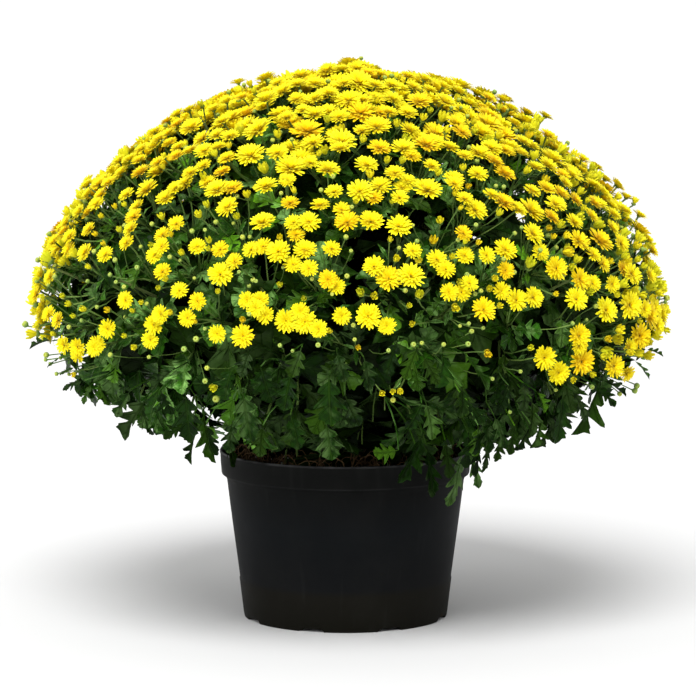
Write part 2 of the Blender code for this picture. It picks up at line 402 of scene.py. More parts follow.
def blended(tree, a, b, share, mode="MIX"):
    made = node(tree, "Mix", data_type="RGBA", blend_type=mode)
    for key, value in (("Factor_Float", share), ("A_Color", a), ("B_Color", b)):
        socket = next(s for s in made.inputs if s.identifier == key)
        if isinstance(value, bpy.types.NodeSocket):
            tree.links.new(value, socket)
        else:
            socket.default_value = value if key == "Factor_Float" else (*value, 1.0)
    return next(s for s in made.outputs if s.identifier == "Result_Color")


def noiseOf(tree, place, scale, detail, **more):  # three scales draw the grain out one way
    if isinstance(scale, tuple):
        place = node(tree, "Mapping", {"Vector": place, "Scale": scale}).outputs[0]
        scale = 1.0
    return node(tree, "TexNoise", {"Vector": place, "Scale": scale, "Detail": detail, **more}).outputs["Fac"]


def tilePlace(tree):  # across and along in a tile, what is random for each tile, and the place on the sheet
    uv = node(tree, "UVMap", uv_map="OFBake").outputs["UV"]
    scaled = node(tree, "VectorMath", {0: uv, 1: (tiles["across"],) * 3}, operation="MULTIPLY").outputs[0]
    inside = node(tree, "VectorMath", {0: scaled}, operation="FRACTION").outputs[0]
    whole = node(tree, "VectorMath", {0: scaled}, operation="FLOOR").outputs[0]
    parts = node(tree, "SeparateXYZ", {0: inside})
    chance = node(tree, "TexWhiteNoise", {"Vector": whole}, noise_dimensions="3D")
    return parts.outputs["X"], parts.outputs["Y"], chance, scaled


def finish(tree, shader, colour, relief, bump):  # bump: its strength and its distance
    tree.links.new(colour, shader.inputs["Base Color"])
    raised = node(tree, "Bump", {"Height": relief, "Strength": bump[0], "Distance": bump[1]})
    tree.links.new(raised.outputs["Normal"], shader.inputs["Normal"])


petalLook = {
    "surface": (0.6, 0.12, 0.04),    # roughness, specular and sheen
    "stops": (              # along the petal: throat, base, blade and tip
        (0.06, (0.88, 0.54, 0.001)), (0.24, (0.91, 0.72, 0.001)),
        (0.55, (0.93, 0.84, 0.002)), (0.94, (0.94, 0.89, 0.024)),
    ),
    "older": (0.92, 0.74, 0.001),
    "olderShare": 0.45,
    "golden": (0.91, 0.60, 0.001),
    "goldenFrom": 0.66,     # the share of blooms that have none of it
    "goldenMost": 0.8,
    "grain": ((26.0, 2.0, 1.0), 2.0),
    "shade": ((0.30, (0.92, 0.84, 0.60)), (0.62, white)),
    "shadeShare": 0.50,
    "bump": (0.35, 0.0006),
}
youngPetalLook = {          # of half-open blooms
    **petalLook,
    "stops": (
        (0.06, (0.50, 0.46, 0.010)), (0.24, (0.80, 0.72, 0.008)),
        (0.55, (0.94, 0.84, 0.006)), (0.94, (0.94, 0.88, 0.030)),
    ),
    "older": (0.62, 0.70, 0.020),
    "olderShare": 0.70,
    "golden": (0.96, 0.66, 0.002),
}
calyxLook = {
    "surface": (0.6, 0.3),
    "stops": ((0.0, (0.10, 0.20, 0.035)), (0.75, (0.22, 0.36, 0.07)), (1.0, (0.42, 0.46, 0.10))),
    "grain": (14.0, 3.0),
    "shade": ((0.3, (0.78, 0.80, 0.72)), (0.7, white)),
    "shadeShare": 0.6,
    "bump": (0.3, 0.0005),
}
budLook = {
    "surface": (0.55, 0.3),
    "stops": (              # from the bud's foot to the dimple on its top, which is dark with painted shade
        (0.0, (0.18, 0.30, 0.04)), (0.36, (0.28, 0.42, 0.07)), (0.66, (0.40, 0.54, 0.12)),
        (0.80, (0.36, 0.38, 0.03)), (1.0, (0.12, 0.11, 0.01)),
    ),
    "older": (0.90, 0.72, 0.02),
    "olderShare": 0.26,
    "grain": ((18.0, 3.0, 1.0), 2.0),
    "shade": ((0.3, (0.80, 0.84, 0.66)), (0.65, white)),
    "shadeShare": 0.6,
    "bump": (0.4, 0.0005),
}


def flowerMaterial(name, look):
    material, tree, shader = startMaterial(name, *look["surface"])
    _, along, chance, scaled = tilePlace(tree)
    colour = ramp(tree, along, look["stops"])
    if "older" in look:
        older = times(tree, chance.outputs["Value"], look["olderShare"])
        colour = blended(tree, colour, look["older"], older)
    if "golden" in look:
        golden = mask(tree, chance.outputs["Color"], look["goldenFrom"], 1.0, look["goldenMost"])
        colour = blended(tree, colour, look["golden"], golden)
    grain = noiseOf(tree, scaled, *look["grain"])
    colour = blended(tree, colour, ramp(tree, grain, look["shade"]), look["shadeShare"], "MULTIPLY")
    finish(tree, shader, colour, grain, look["bump"])
    return material


leafLook = {
    "deep": (0.0014, 0.0064, 0.0004),
    "mid": (0.0060, 0.0250, 0.0010),
    "young": (0.0270, 0.0700, 0.0020),
    "youngShare": 0.65,
    "downySheen": (0.0600, 0.1120, 0.0300),   # a painted sheen: the grey-green gleam of hairy leaf tops
    "downySheenShare": 0.62,
    "vein": (0.0300, 0.0720, 0.0090),
    "veinShare": 0.38,
    "midribWidth": 0.035,   # of the leaf's
    "sideVeins": 5.5,
    "veinSlope": 0.80,
    "spread": (0.60, 1.70),  # how dark the darkest leaves are, and how much the brightest gain
    "roughness": (0.28, 0.54),
    "bump": (0.85, 0.0032),
}


def leafMaterial(name, light, gloss):  # light scales the colour, a painted light and shade: most for leaves among the blooms, least for those deep inside
    material, tree, shader = startMaterial(name, 0.46, gloss)
    across, along, chance, scaled = tilePlace(tree)
    value = chance.outputs["Value"]
    aside = maths(tree, "ABSOLUTE", maths(tree, "SUBTRACT", across, 0.5))
    midrib = ramp(tree, aside, [(0.0, white), (leafLook["midribWidth"], black)])
    slanted = maths(tree, "SUBTRACT", along, times(tree, aside, leafLook["veinSlope"]))
    wave = maths(tree, "PINGPONG", times(tree, slanted, leafLook["sideVeins"] * 2), 1.0)
    sideVeins = ramp(tree, wave, [(0.0, (0.8, 0.8, 0.8)), (0.16, black)])
    veins = blended(tree, midrib, sideVeins, 1.0, "LIGHTEN")
    cloud = noiseOf(tree, scaled, 5.0, 4.0)
    colour = ramp(tree, cloud, [(0.32, leafLook["deep"]), (0.62, leafLook["mid"])])
    youth = times(tree, mask(tree, value, 0.55, 1.0), leafLook["youngShare"])
    colour = blended(tree, colour, leafLook["young"], youth)
    other = node(tree, "TexWhiteNoise", {"Vector": chance.outputs["Color"]}, noise_dimensions="3D")
    patches = noiseOf(tree, scaled, 3.4, 3.0, Distortion=0.5)
    # painted sheen: the grey-green gleam laid in patches, on some leaves more than others
    gleam = maths(tree, "MULTIPLY_ADD", other.outputs["Value"], 0.30, patches)
    down = times(tree, mask(tree, gleam, 0.64, 0.90), leafLook["downySheenShare"])
    colour = blended(tree, colour, leafLook["downySheen"], down)
    colour = blended(tree, colour, leafLook["vein"], times(tree, veins, leafLook["veinShare"]))
    third = maths(tree, "POWER", node(tree, "SeparateXYZ", {0: chance.outputs["Color"]}).outputs["Z"], 2.5)
    share = maths(tree, "MULTIPLY_ADD", third, leafLook["spread"][1], leafLook["spread"][0])
    # painted light and shade: the colour scaled by each copy's light
    colour = blended(tree, colour, times(tree, share, light), 1.0, "MULTIPLY")
    mottle = maths(tree, "MULTIPLY_ADD", cloud, 0.3, times(tree, value, 0.7))
    low, high = leafLook["roughness"]
    rough = node(tree, "MapRange", {"Value": mottle, "To Min": low, "To Max": high})
    tree.links.new(rough.outputs[0], shader.inputs["Roughness"])
    finish(tree, shader, colour, maths(tree, "SUBTRACT", cloud, times(tree, veins, 0.9)), leafLook["bump"])
    return material


def stemMaterial():
    material, tree, shader = startMaterial("stemGreen", 0.55, 0.2)
    _, _, chance, scaled = tilePlace(tree)
    ridges = noiseOf(tree, scaled, (22.0, 1.5, 1.0), 2.0)
    green = ramp(tree, ridges, [(0.3, (0.062, 0.130, 0.022)), (0.7, (0.145, 0.235, 0.052))])
    pale = blended(tree, green, (0.20, 0.30, 0.06), times(tree, chance.outputs["Value"], 0.5))
    finish(tree, shader, pale, ridges, (0.5, 0.0006))
    return material


def woodMaterial():  # brown at the foot, greener where the stem rises
    material, tree, shader = startMaterial("stemWoody", 0.8, 0.2)
    _, along, _, scaled = tilePlace(tree)
    grain = noiseOf(tree, scaled, (24.0, 4.0, 1.0), 4.0)
    brown = ramp(tree, grain, [(0.28, (0.045, 0.030, 0.014)), (0.72, (0.19, 0.14, 0.065))])
    rising = times(tree, mask(tree, along, 0.25, 0.75), 0.85)
    finish(tree, shader, blended(tree, brown, (0.13, 0.19, 0.05), rising), grain, (0.7, 0.001))
    return material


materials = {
    "petal": flowerMaterial("petalYellow", petalLook),
    "youngPetal": flowerMaterial("petalYoung", youngPetalLook),
    "calyx": flowerMaterial("calyxGreen", calyxLook),
    "bud": flowerMaterial("budCream", budLook),
    "leaf": leafMaterial("leafSkirt", 1.0, 0.05),
    # a copy of the leaf material scaled down to 0.30: painted shade for the leaves deep inside
    "innerLeafPaintedShade": leafMaterial("leafInsidePaintedShade", 0.30, 0.02),
    # a copy of the leaf material scaled up to 3.0: painted light for the leaves among the blooms
    "topLeafPaintedLight": leafMaterial("leafAmongBloomsPaintedLight", 3.0, 0.07),
    "stem": stemMaterial(),
    "wood": woodMaterial(),
}
print("plant materials made")

# Flowers: petals in rings, each a narrow cupped strip with a rounded tip
fineStrip = {               # places along the petal, its widths there, its points across, and how deep it is
    "stations": (0.0, 0.50, 0.83, 1.0),
    "widths": (0.46, 0.92, 0.98, 0.30),
    "across": (-1, 0, 1),
    "cup": 0.16,
}
midStrip = {"stations": (0.0, 0.66, 1.0), "widths": (0.50, 1.0, 0.32), "across": (-1, 0, 1), "cup": 0.16}
cupStrip = {"stations": (0.0, 0.60, 1.0), "widths": (0.60, 1.0, 0.50), "across": (-1, 0, 1), "cup": 0.14}
smallStrip = {"stations": (0.0, 0.62, 1.0), "widths": (0.60, 1.0, 0.45), "across": (-1, 1), "cup": 0.0}
# how much petals differ from one another; lean is in degrees
petalSpread = {"turn": 0.24, "length": (0.90, 1.07), "lean": 6, "width": (0.90, 1.12), "twist": 0.25}
bloom = {
    "variants": 10,
    # strip, count, length, width, rise at the base and at the tip in degrees, start radius, start height
    "rings": (
        (fineStrip, 16, 0.90, 0.198, 30, 6, 0.15, -0.24),
        (midStrip, 16, 0.84, 0.196, 38, 14, 0.14, -0.19),
        (smallStrip, 15, 0.72, 0.200, 44, 26, 0.13, -0.14),
        (smallStrip, 12, 0.56, 0.190, 52, 36, 0.11, -0.10),
        (smallStrip, 9, 0.40, 0.175, 58, 48, 0.08, -0.06),
        (smallStrip, 6, 0.27, 0.150, 66, 64, 0.05, -0.03),
    ),
    "calyx": (0.30, 0.20),  # radius and depth
}
halfOpen = {
    "variants": 8,
    "rings": (
        (cupStrip, 10, 1.36, 0.46, 36, 84, 0.20, -0.52),
        (cupStrip, 7, 1.08, 0.42, 56, 106, 0.18, -0.44),
        (smallStrip, 5, 0.80, 0.34, 72, 118, 0.12, -0.36),
    ),
    "calyx": (0.52, 0.45),
}
budVariants = 4


def petalShape(kind, length, width, riseBase, riseTip, slot):
    rows, uvRows = [], []
    x = z = last = 0.0
    for place, share in zip(kind["stations"], kind["widths"]):
        rise = math.radians(mixed(riseBase, riseTip, place))
        x += math.cos(rise) * (place - last) * length
        z += math.sin(rise) * (place - last) * length
        last = place
        half = width * share / 2
        row = []
        for side in kind["across"]:
            low = kind["cup"] * width * share * (1 - abs(side))
            row.append((x + math.sin(rise) * low * 0.5, side * half, z - math.cos(rise) * low))
        rows.append(row)
        uvRows.append([(0.5 + 0.5 * side * share, place) for side in kind["across"]])
    return strip(rows, uvRows, slot)


def flowerShape(kind, random, slot):  # of radius about 1
    parts = []
    first = 0.0
    spread = petalSpread
    for petals, count, length, width, riseBase, riseTip, start, height in kind["rings"]:
        first += math.pi / count    # each ring's petals stand between those of the ring outside it
        for i in range(count):
            turn = first + (i + random.uniform(-spread["turn"], spread["turn"])) * fullTurn / count
            grown = length * random.uniform(*spread["length"])
            lean = random.uniform(-spread["lean"], spread["lean"])
            wide = width * random.uniform(*spread["width"])
            blade = petalShape(petals, grown, wide, riseBase + lean, riseTip + lean, slot)
            twist = Matrix.Rotation(random.uniform(-spread["twist"], spread["twist"]), 4, "X")
            place = Matrix.Rotation(turn, 4, "Z") @ Matrix.Translation((start, 0.0, height)) @ twist
            parts.append(movedShape(blade, place))
    radius, depth = kind["calyx"]
    calyx = lathe([(radius * 0.30, -depth), (radius * 0.86, -depth * 0.62), (radius, 0.0)], 6, 1)
    parts.append(movedShape(calyx, Matrix.Translation((0, 0, kind["rings"][0][7] + 0.02))))
    return joinShapes(parts)


def budShape(random):  # of radius about 1: bracts below, closed petals above, a dimple on top
    bulge = random.uniform(0.92, 1.06)
    cup = [(0.16, -1.15), (0.90 * bulge, -0.62), (0.98 * bulge, 0.05)]
    dome = [(0.97 * bulge, 0.02), (0.86 * bulge, 0.50), (0.50, 0.72), (0.10, 0.42)]
    return joinShapes([lathe(cup, 7, 1), lathe(dome, 7, 0)])


def makeFlowerTemplates():
    random = np.random.default_rng(21)
    blooms = [flowerShape(bloom, random, 0) for _ in range(bloom["variants"])]
    halves = [flowerShape(halfOpen, random, 2) for _ in range(halfOpen["variants"])]
    return blooms, halves, [budShape(random) for _ in range(budVariants)]


bloomShapes, halfShapes, budShapes = makeFlowerTemplates()
for label, shape in (("bloom", bloomShapes[0]), ("half-open bloom", halfShapes[0]), ("bud", budShapes[0])):
    print("triangles in one", label, int((shape["sizes"] - 2).sum()))

# Leaves: five lobes with blunt teeth, folded along the midrib, on a short stalk
leaf = {
    "variants": 12,
    "stalk": 0.15,          # share of the length
    "sweep": 0.60,          # how far forward the lobes lean
    "halfWidth": 0.37,      # of the widest outline point
    "droop": (0.10, 0.50),
    "fold": (0.05, 0.50),
    "curl": (-0.10, 0.30),
    "sway": (-0.12, 0.12),
    "teeth": (0.88, 1.10),  # how uneven the two halves of the outline are
    "ripple": 0.024,
    # half outlines: how far along, and the half width there; stalk, two side lobes and the end lobe
    "fine": (
        (0.0, 0.018), (0.12, 0.018), (0.21, 0.21), (0.26, 0.27), (0.305, 0.20), (0.34, 0.09), (0.38, 0.22),
        (0.42, 0.36), (0.465, 0.40), (0.505, 0.34), (0.535, 0.22), (0.565, 0.10), (0.61, 0.14), (0.67, 0.26),
        (0.72, 0.22), (0.78, 0.27), (0.84, 0.19), (0.90, 0.15), (0.95, 0.13), (1.0, 0.012),
    ),
    "medium": (
        (0.0, 0.018), (0.12, 0.018), (0.22, 0.22), (0.28, 0.25), (0.34, 0.09), (0.42, 0.35), (0.49, 0.36),
        (0.565, 0.10), (0.67, 0.25), (0.80, 0.24), (0.92, 0.14), (1.0, 0.012),
    ),
    "coarse": ((0.0, 0.02), (0.26, 0.30), (0.365, 0.13), (0.52, 0.36), (0.68, 0.18), (1.0, 0.02)),
}


def leafShape(random, outline, slot):
    droop, fold, curl, sway = [random.uniform(*leaf[key]) for key in ("droop", "fold", "curl", "sway")]
    waves = random.uniform(0, fullTurn)
    rows, uvRows = [], []
    for t, width in outline:
        bladeShare = max(0.0, t - leaf["stalk"])
        row, uvRow = [], []
        for side in (-1.0, -0.5, 0.0, 0.5, 1.0):
            edge = abs(side) == 1
            y = side * width * (random.uniform(*leaf["teeth"]) if edge else 1.0)
            lean = leaf["sweep"] * abs(y) * min(1.0, bladeShare * 5) * (1 - t**4)
            x = t + lean * (1.0 if edge else 0.85)
            wave = math.sin(4.6 * t * math.pi + waves + side)
            ripple = leaf["ripple"] * abs(side) * wave * min(1.0, bladeShare * 6)
            z = fold * abs(y) - curl * y * y * 4 - droop * bladeShare**1.8 + ripple
            row.append((x, y + sway * t * t, z))
            uvRow.append((0.5 + y / 0.90, min(1.0, x / 1.06)))
        rows.append(row)
        uvRows.append(uvRow)
    return strip(rows, uvRows, slot, flip=True)


bract = {
    "variants": 6,
    "seed": 50,
    "length": (0.011, 0.023),
    "halfWidth": (0.12, 0.24),
    "droop": (-0.1, 0.5),
    "fold": (0.1, 0.5),
}


def bractShape(random):  # a small plain leaf on a flower stalk
    droop, fold = random.uniform(*bract["droop"]), random.uniform(*bract["fold"])
    rows, uvRows = [], []
    for t, width in ((0.0, 0.03), (0.55, random.uniform(*bract["halfWidth"])), (1.0, 0.02)):
        rows.append([(t, side * width, fold * abs(side) * width - droop * t * t) for side in (-1, 0, 1)])
        uvRows.append([(0.5 + side * width, t) for side in (-1, 0, 1)])
    return strip(rows, uvRows, 2, flip=True)


def makeLeafTemplates():
    random = np.random.default_rng(33)
    # fine leaves take the skirt's material, medium ones the painted light of those among the blooms, coarse
    # ones the painted shade of those inside
    return [[leafShape(random, leaf[detail], slot) for _ in range(leaf["variants"])]
            for detail, slot in (("fine", 0), ("medium", 2), ("coarse", 1))]


leafShapes, smallLeafShapes, plainLeafShapes = makeLeafTemplates()
bractShapes = [bractShape(np.random.default_rng(bract["seed"] + k)) for k in range(bract["variants"])]
print("leaf shapes made, triangles in one leaf:", int((leafShapes[0]["sizes"] - 2).sum()))


# Where things grow. Directions come from an even spiral, taken in a shuffled order.
def spiral(count, random, stray=0.01):
    found = []
    for i in random.permutation(count):
        tilt = math.acos(1 - 2 * (i + 0.5) / count)
        turn = (i * math.pi * (3 - math.sqrt(5))) % fullTurn
        found.append((tilt + random.normal(0, stray), turn + random.normal(0, stray)))
    return found


# Flowers that can be told apart in the photograph, read off it: x, y and width, all in its pixels
seen = {
    "bloom": (  # wide open
        (146, 188, 26), (126, 194, 20), (165, 197, 24), (175, 187, 17), (185, 183, 17), (86, 184, 20),
        (98, 183, 18), (108, 182, 18), (100, 194, 18), (87, 193, 17), (96, 203, 22), (78, 211, 19),
        (87, 212, 17), (65, 222, 19), (63, 231, 17), (69, 236, 18), (88, 229, 16), (133, 216, 23),
        (136, 206, 13), (130, 228, 17), (126, 242, 14), (176, 223, 19), (162, 234, 18), (161, 246, 13),
        (154, 255, 15), (84, 252, 23), (68, 249, 19), (53, 241, 15), (45, 255, 15), (105, 254, 15),
        (49, 277, 16), (35, 294, 14), (162, 271, 20), (179, 290, 17), (125, 300, 19), (48, 314, 16),
        (57, 320, 21), (107, 329, 22), (160, 314, 21), (153, 325, 23), (150, 340, 18), (187, 318, 15),
        (77, 347, 17), (97, 344, 18), (63, 345, 13), (77, 354, 17), (94, 348, 17), (217, 188, 28),
        (232, 187, 21), (207, 182, 13), (227, 206, 27), (265, 185, 25), (262, 221, 29), (290, 202, 20),
        (334, 191, 21), (320, 204, 22), (342, 209, 18), (347, 221, 27), (293, 222, 20), (309, 221, 26),
        (296, 234, 18), (251, 249, 17), (263, 246, 21), (278, 251, 28), (305, 249, 26), (293, 264, 21),
        (309, 268, 14), (332, 248, 14), (197, 246, 15), (220, 249, 14), (220, 274, 28), (234, 261, 20),
        (197, 301, 15), (328, 279, 22), (336, 286, 13), (247, 300, 18), (260, 300, 20), (256, 308, 15),
        (265, 315, 18), (217, 334, 19), (243, 336, 26), (286, 321, 26), (300, 311, 20), (305, 322, 27),
        (319, 329, 18), (342, 316, 19), (360, 190, 27), (380, 185, 24), (374, 197, 18), (402, 187, 18),
        (400, 197, 15), (409, 182, 14), (428, 188, 30), (455, 183, 18), (465, 198, 19), (476, 209, 25),
        (492, 194, 16), (504, 201, 25), (371, 220, 27), (399, 225, 27), (413, 250, 15), (464, 233, 14),
        (437, 259, 22), (446, 269, 20), (465, 255, 19), (487, 255, 15), (506, 249, 23), (506, 270, 14),
        (374, 266, 24), (389, 278, 28), (411, 275, 29), (368, 316, 28), (387, 326, 17), (449, 292, 14),
        (462, 292, 19), (470, 283, 14), (484, 309, 24), (502, 291, 18), (518, 208, 20), (533, 190, 14),
        (547, 187, 21), (561, 192, 20), (556, 203, 22), (552, 216, 19), (534, 233, 23), (576, 199, 15),
        (575, 221, 19), (580, 240, 23), (592, 215, 18), (601, 239, 28), (541, 252, 15), (557, 268, 23),
        (594, 254, 17), (604, 264, 15), (581, 279, 23), (593, 283, 16), (577, 299, 23), (517, 300, 22),
        (534, 297, 21), (613, 284, 15), (622, 243, 19), (624, 269, 18), (633, 274, 22), (607, 310, 25),
        (631, 305, 27), (645, 309, 17), (641, 336, 25), (658, 325, 19), (580, 336, 23), (583, 362, 27),
        (545, 358, 23), (559, 373, 22), (580, 346, 18), (615, 366, 23), (628, 374, 16), (614, 213, 18),
        (613, 205, 16), (613, 227, 16), (625, 209, 15), (640, 214, 16), (627, 196, 14), (649, 239, 14),
        (653, 250, 14), (651, 275, 15), (662, 287, 15), (604, 191, 19), (594, 184, 19), (619, 185, 14),
        (595, 202, 14), (630, 347, 14), (87, 180, 18), (103, 179, 19), (118, 160, 16), (129, 158, 15),
        (121, 171, 19), (139, 159, 18), (140, 171, 23), (157, 162, 15), (141, 148, 18), (153, 145, 18),
        (154, 131, 16), (167, 133, 16), (158, 138, 16), (169, 142, 18), (178, 146, 18), (176, 155, 15),
        (167, 120, 14), (177, 113, 15), (188, 109, 17), (177, 123, 14), (191, 126, 27), (213, 108, 16),
        (226, 100, 17), (222, 120, 18), (201, 138, 21), (216, 134, 19), (189, 150, 18), (204, 150, 21),
        (218, 146, 14), (203, 165, 15), (190, 172, 18), (185, 181, 15), (222, 171, 18), (226, 158, 16),
        (238, 81, 17), (242, 96, 18), (265, 76, 24), (277, 82, 18), (266, 97, 27), (282, 90, 24),
        (297, 98, 20), (301, 74, 24), (297, 83, 16), (315, 82, 22), (327, 69, 24), (342, 68, 16),
        (357, 67, 20), (315, 97, 20), (330, 92, 20), (344, 82, 18), (348, 99, 26), (303, 109, 17),
        (287, 116, 20), (257, 128, 31), (307, 129, 34), (339, 116, 23), (230, 135, 20), (250, 154, 31),
        (277, 152, 23), (342, 140, 31), (340, 147, 21), (291, 166, 34), (310, 162, 18), (328, 168, 26),
        (287, 180, 16), (227, 157, 15), (361, 65, 21), (368, 72, 16), (380, 73, 16), (376, 84, 19),
        (392, 84, 20), (363, 99, 22), (408, 75, 15), (425, 78, 21), (414, 86, 18), (430, 89, 14),
        (444, 85, 17), (459, 90, 22), (477, 92, 18), (489, 97, 16), (503, 98, 19), (394, 98, 23),
        (420, 100, 27), (446, 100, 25), (470, 102, 23), (389, 111, 16), (408, 112, 21), (484, 107, 17),
        (489, 114, 29), (377, 125, 29), (457, 122, 23), (462, 131, 21), (362, 130, 15), (380, 147, 23),
        (404, 147, 27), (412, 155, 20), (427, 143, 26), (450, 146, 22), (465, 155, 18), (480, 152, 25),
        (495, 160, 21), (505, 149, 18), (367, 164, 24), (395, 172, 21), (432, 165, 17), (478, 173, 21),
        (454, 178, 22), (505, 172, 24), (407, 180, 14), (507, 98, 18), (512, 107, 15), (528, 112, 21),
        (546, 115, 18), (515, 122, 20), (523, 140, 16), (548, 134, 21), (559, 145, 21), (508, 150, 18),
        (522, 152, 15), (536, 166, 21), (549, 164, 23), (563, 174, 18), (572, 173, 18), (577, 162, 20),
        (583, 158, 15), (582, 169, 14), (597, 166, 14), (593, 183, 15), (606, 178, 16), (618, 183, 14),
        (566, 182, 15),
    ),
    "half": (  # half open
        (162, 217, 12), (120, 230, 11), (152, 245, 10), (171, 235, 9), (182, 253, 11), (96, 234, 10),
        (102, 216, 9), (62, 263, 12), (104, 244, 9), (89, 267, 10), (37, 278, 10), (43, 297, 10),
        (166, 279, 11), (159, 288, 9), (133, 311, 9), (142, 302, 9), (108, 310, 11), (84, 309, 12),
        (69, 304, 11), (63, 296, 9), (74, 316, 8), (37, 326, 11), (54, 334, 10), (125, 336, 9),
        (171, 313, 10), (135, 347, 10), (115, 207, 9), (125, 205, 8), (74, 374, 9), (286, 182, 13),
        (247, 195, 13), (294, 191, 11), (207, 205, 12), (199, 215, 13), (237, 217, 12), (280, 238, 11),
        (303, 272, 11), (209, 241, 11), (209, 249, 9), (218, 292, 9), (195, 322, 10), (280, 285, 10),
        (304, 298, 10), (243, 320, 11), (330, 331, 9), (214, 387, 14), (356, 202, 8), (392, 202, 8),
        (468, 187, 10), (455, 194, 10), (460, 208, 8), (499, 213, 11), (390, 240, 8), (440, 221, 11),
        (433, 241, 13), (396, 259, 12), (419, 261, 10), (465, 242, 8), (478, 243, 9), (452, 257, 10),
        (419, 295, 14), (409, 306, 9), (412, 324, 9), (361, 293, 14), (374, 296, 12), (358, 347, 9),
        (460, 282, 10), (455, 307, 13), (494, 278, 10), (489, 289, 10), (499, 306, 9), (487, 353, 12),
        (560, 225, 12), (548, 228, 9), (553, 237, 9), (580, 192, 12), (566, 236, 10), (583, 209, 9),
        (587, 201, 8), (571, 267, 11), (610, 262, 9), (589, 292, 11), (555, 294, 7), (624, 256, 11),
        (607, 339, 10), (530, 348, 9), (573, 379, 9), (592, 374, 9), (603, 356, 10), (629, 352, 11),
        (616, 295, 9), (382, 393, 10), (393, 391, 7), (400, 390, 10), (639, 321, 8), (635, 201, 10),
        (637, 260, 10), (658, 292, 10), (666, 330, 10), (643, 266, 9), (619, 330, 14), (201, 104, 10),
        (215, 154, 11), (204, 177, 12), (163, 167, 9), (164, 156, 8), (250, 84, 10), (254, 91, 10),
        (278, 135, 12), (327, 120, 11), (319, 154, 9), (229, 146, 9), (397, 76, 10), (373, 109, 11),
        (423, 118, 11), (430, 111, 9), (499, 107, 10), (397, 124, 12), (447, 130, 11), (473, 122, 10),
        (474, 131, 10), (499, 136, 13), (387, 161, 11), (402, 161, 11), (370, 175, 12), (463, 168, 10),
        (438, 173, 11), (363, 140, 11), (538, 121, 9), (527, 127, 10), (528, 136, 12), (567, 160, 9),
        (526, 171, 12),
    ),
    "bud": (  # closed
        (152, 224, 6), (170, 257, 6), (115, 260, 6), (116, 282, 5), (124, 287, 6), (69, 327, 6),
        (97, 307, 5), (25, 324, 8), (46, 355, 7), (149, 357, 5), (192, 231, 6), (205, 230, 5),
        (216, 222, 6), (239, 272, 5), (256, 281, 5), (312, 279, 5), (196, 339, 7), (184, 349, 7),
        (318, 345, 6), (321, 190, 5), (347, 276, 6), (249, 314, 6), (207, 368, 6), (205, 381, 7),
        (216, 399, 8), (346, 237, 6), (417, 241, 5), (399, 248, 5), (458, 240, 5), (476, 225, 5),
        (475, 294, 5), (496, 186, 5), (460, 326, 4), (422, 343, 5), (468, 344, 6), (351, 251, 5),
        (592, 387, 5), (637, 386, 6), (635, 391, 6), (510, 412, 4), (667, 298, 7), (393, 400, 6),
    ),
}

layout = {
    "candidates": 9000,
    "frontEdge": math.radians(71),   # how far down the blooms go, from straight up
    "sideEdge": math.radians(80),
    "backEdge": math.radians(77),
    "edgeFade": math.radians(8),
    "clumps": 15.0,         # per metre
    "bare": (-0.6, 0.05),   # noise below this has few blooms, on top and on the sides
    "bareShare": 0.80,      # the share of them that is left out there
    "halfShare": (0.45, 1.0),        # the share of half-open ones that stays, on the front and on the flanks
    "upwards": (0.50, 0.16),         # how much flowers turn up from the canopy's normal, high up and low down
    "outwards": 0.35,       # how much those of the crest lean out from the middle
    "frontwards": 0.55,     # how much the lowest of the listed ones turn to the front
    "frontwardsGrows": (190, 330),   # px: where that begins, and where it is full
    "flankBuds": 0.55,      # the share of scattered blooms that are left out on the left and right flanks
    "leftDent": 0.012,      # m: how far the upper left of the photograph is drawn in
    "crestDent": 0.011,     # m: and the crest right of the middle
    "crestAt": (0.065, 0.045),       # m: x of that dent's middle, and its half width
    "seenLift": (-0.009, 0.001),     # m: from the skin
    "seenSize": (0.87, 1.04),        # of the widths read off the photograph, in its left half and far right
    "seenGrows": (300, 570),         # px: where the first turns into the second
    "crestSize": 0.98,      # the same in the crest
    "crestEnds": 190,       # px
    "denseAbove": 165,      # px: higher up in the photograph, scattered flowers fill in between the seen ones
    "denseLeft": (262, 330),         # px from the axis, the same: higher up and lower down
    "denseRight": (190, 262),
    "denseBelow": 262,      # px: where lower down begins
}
flowerKinds = {
    "bloom": {
        "shapes": bloomShapes,
        "goesTo": "blooms",
        "neck": 0.38,       # how far below its place the stalk ends, in radii
        "stalk": 0.00095,
        "bracts": 2,
        "seenRadius": (0.0108, 0.0210),  # the least and the most, where it is read off the photograph
        "seenWobble": 0.13,
        "radius": (0.0138, 0.0207),
        "wobble": 0.16,
        "most": 640,
        "spacing": (0.66, 0.74),         # between centres, in sums of radii, on top and on the sides
        "lift": (-0.019, -0.004),
        "below": 0.0,       # how much further down than the blooms
    },
    "half": {
        "shapes": halfShapes,
        "goesTo": "blooms",
        "neck": 0.92,
        "stalk": 0.00080,
        "bracts": 2,
        "seenRadius": (0.0048, 0.0085),
        "seenWobble": 0.24,
        "radius": (0.0072, 0.0108),
        "wobble": 0.28,
        "most": 380,
        "spacing": (0.80, 0.80),
        "lift": (-0.018, -0.002),
        "below": math.radians(2),
    },
    "bud": {
        "shapes": budShapes,
        "goesTo": "buds",
        "neck": 1.12,
        "stalk": 0.00060,
        "bracts": 0,
        "seenRadius": (0.0023, 0.0042),
        "seenWobble": 0.3,
        "radius": (0.0022, 0.0034),
        "wobble": 0.28,
        "most": 330,
        "spacing": (0.75, 0.75),
        "lift": (-0.016, 0.003),
        "below": math.radians(8),
    },
}
# a line of sight is followed in steps, from in front of the plant until it meets the canopy
sight = {"start": photo["distance"] - 0.46, "step": 0.004, "steps": 231, "near": 0.002}  # m


def lowestBloom(turn):  # the blooms reach lowest on the left and right flanks
    end = layout["frontEdge"] if math.sin(turn) < 0 else layout["backEdge"]
    return mixed(layout["sideEdge"], end, math.sin(turn) ** 2)


def clump(point):
    return noise.noise(point * layout["clumps"] + Vector((7.3, 1.1, 4.7)))


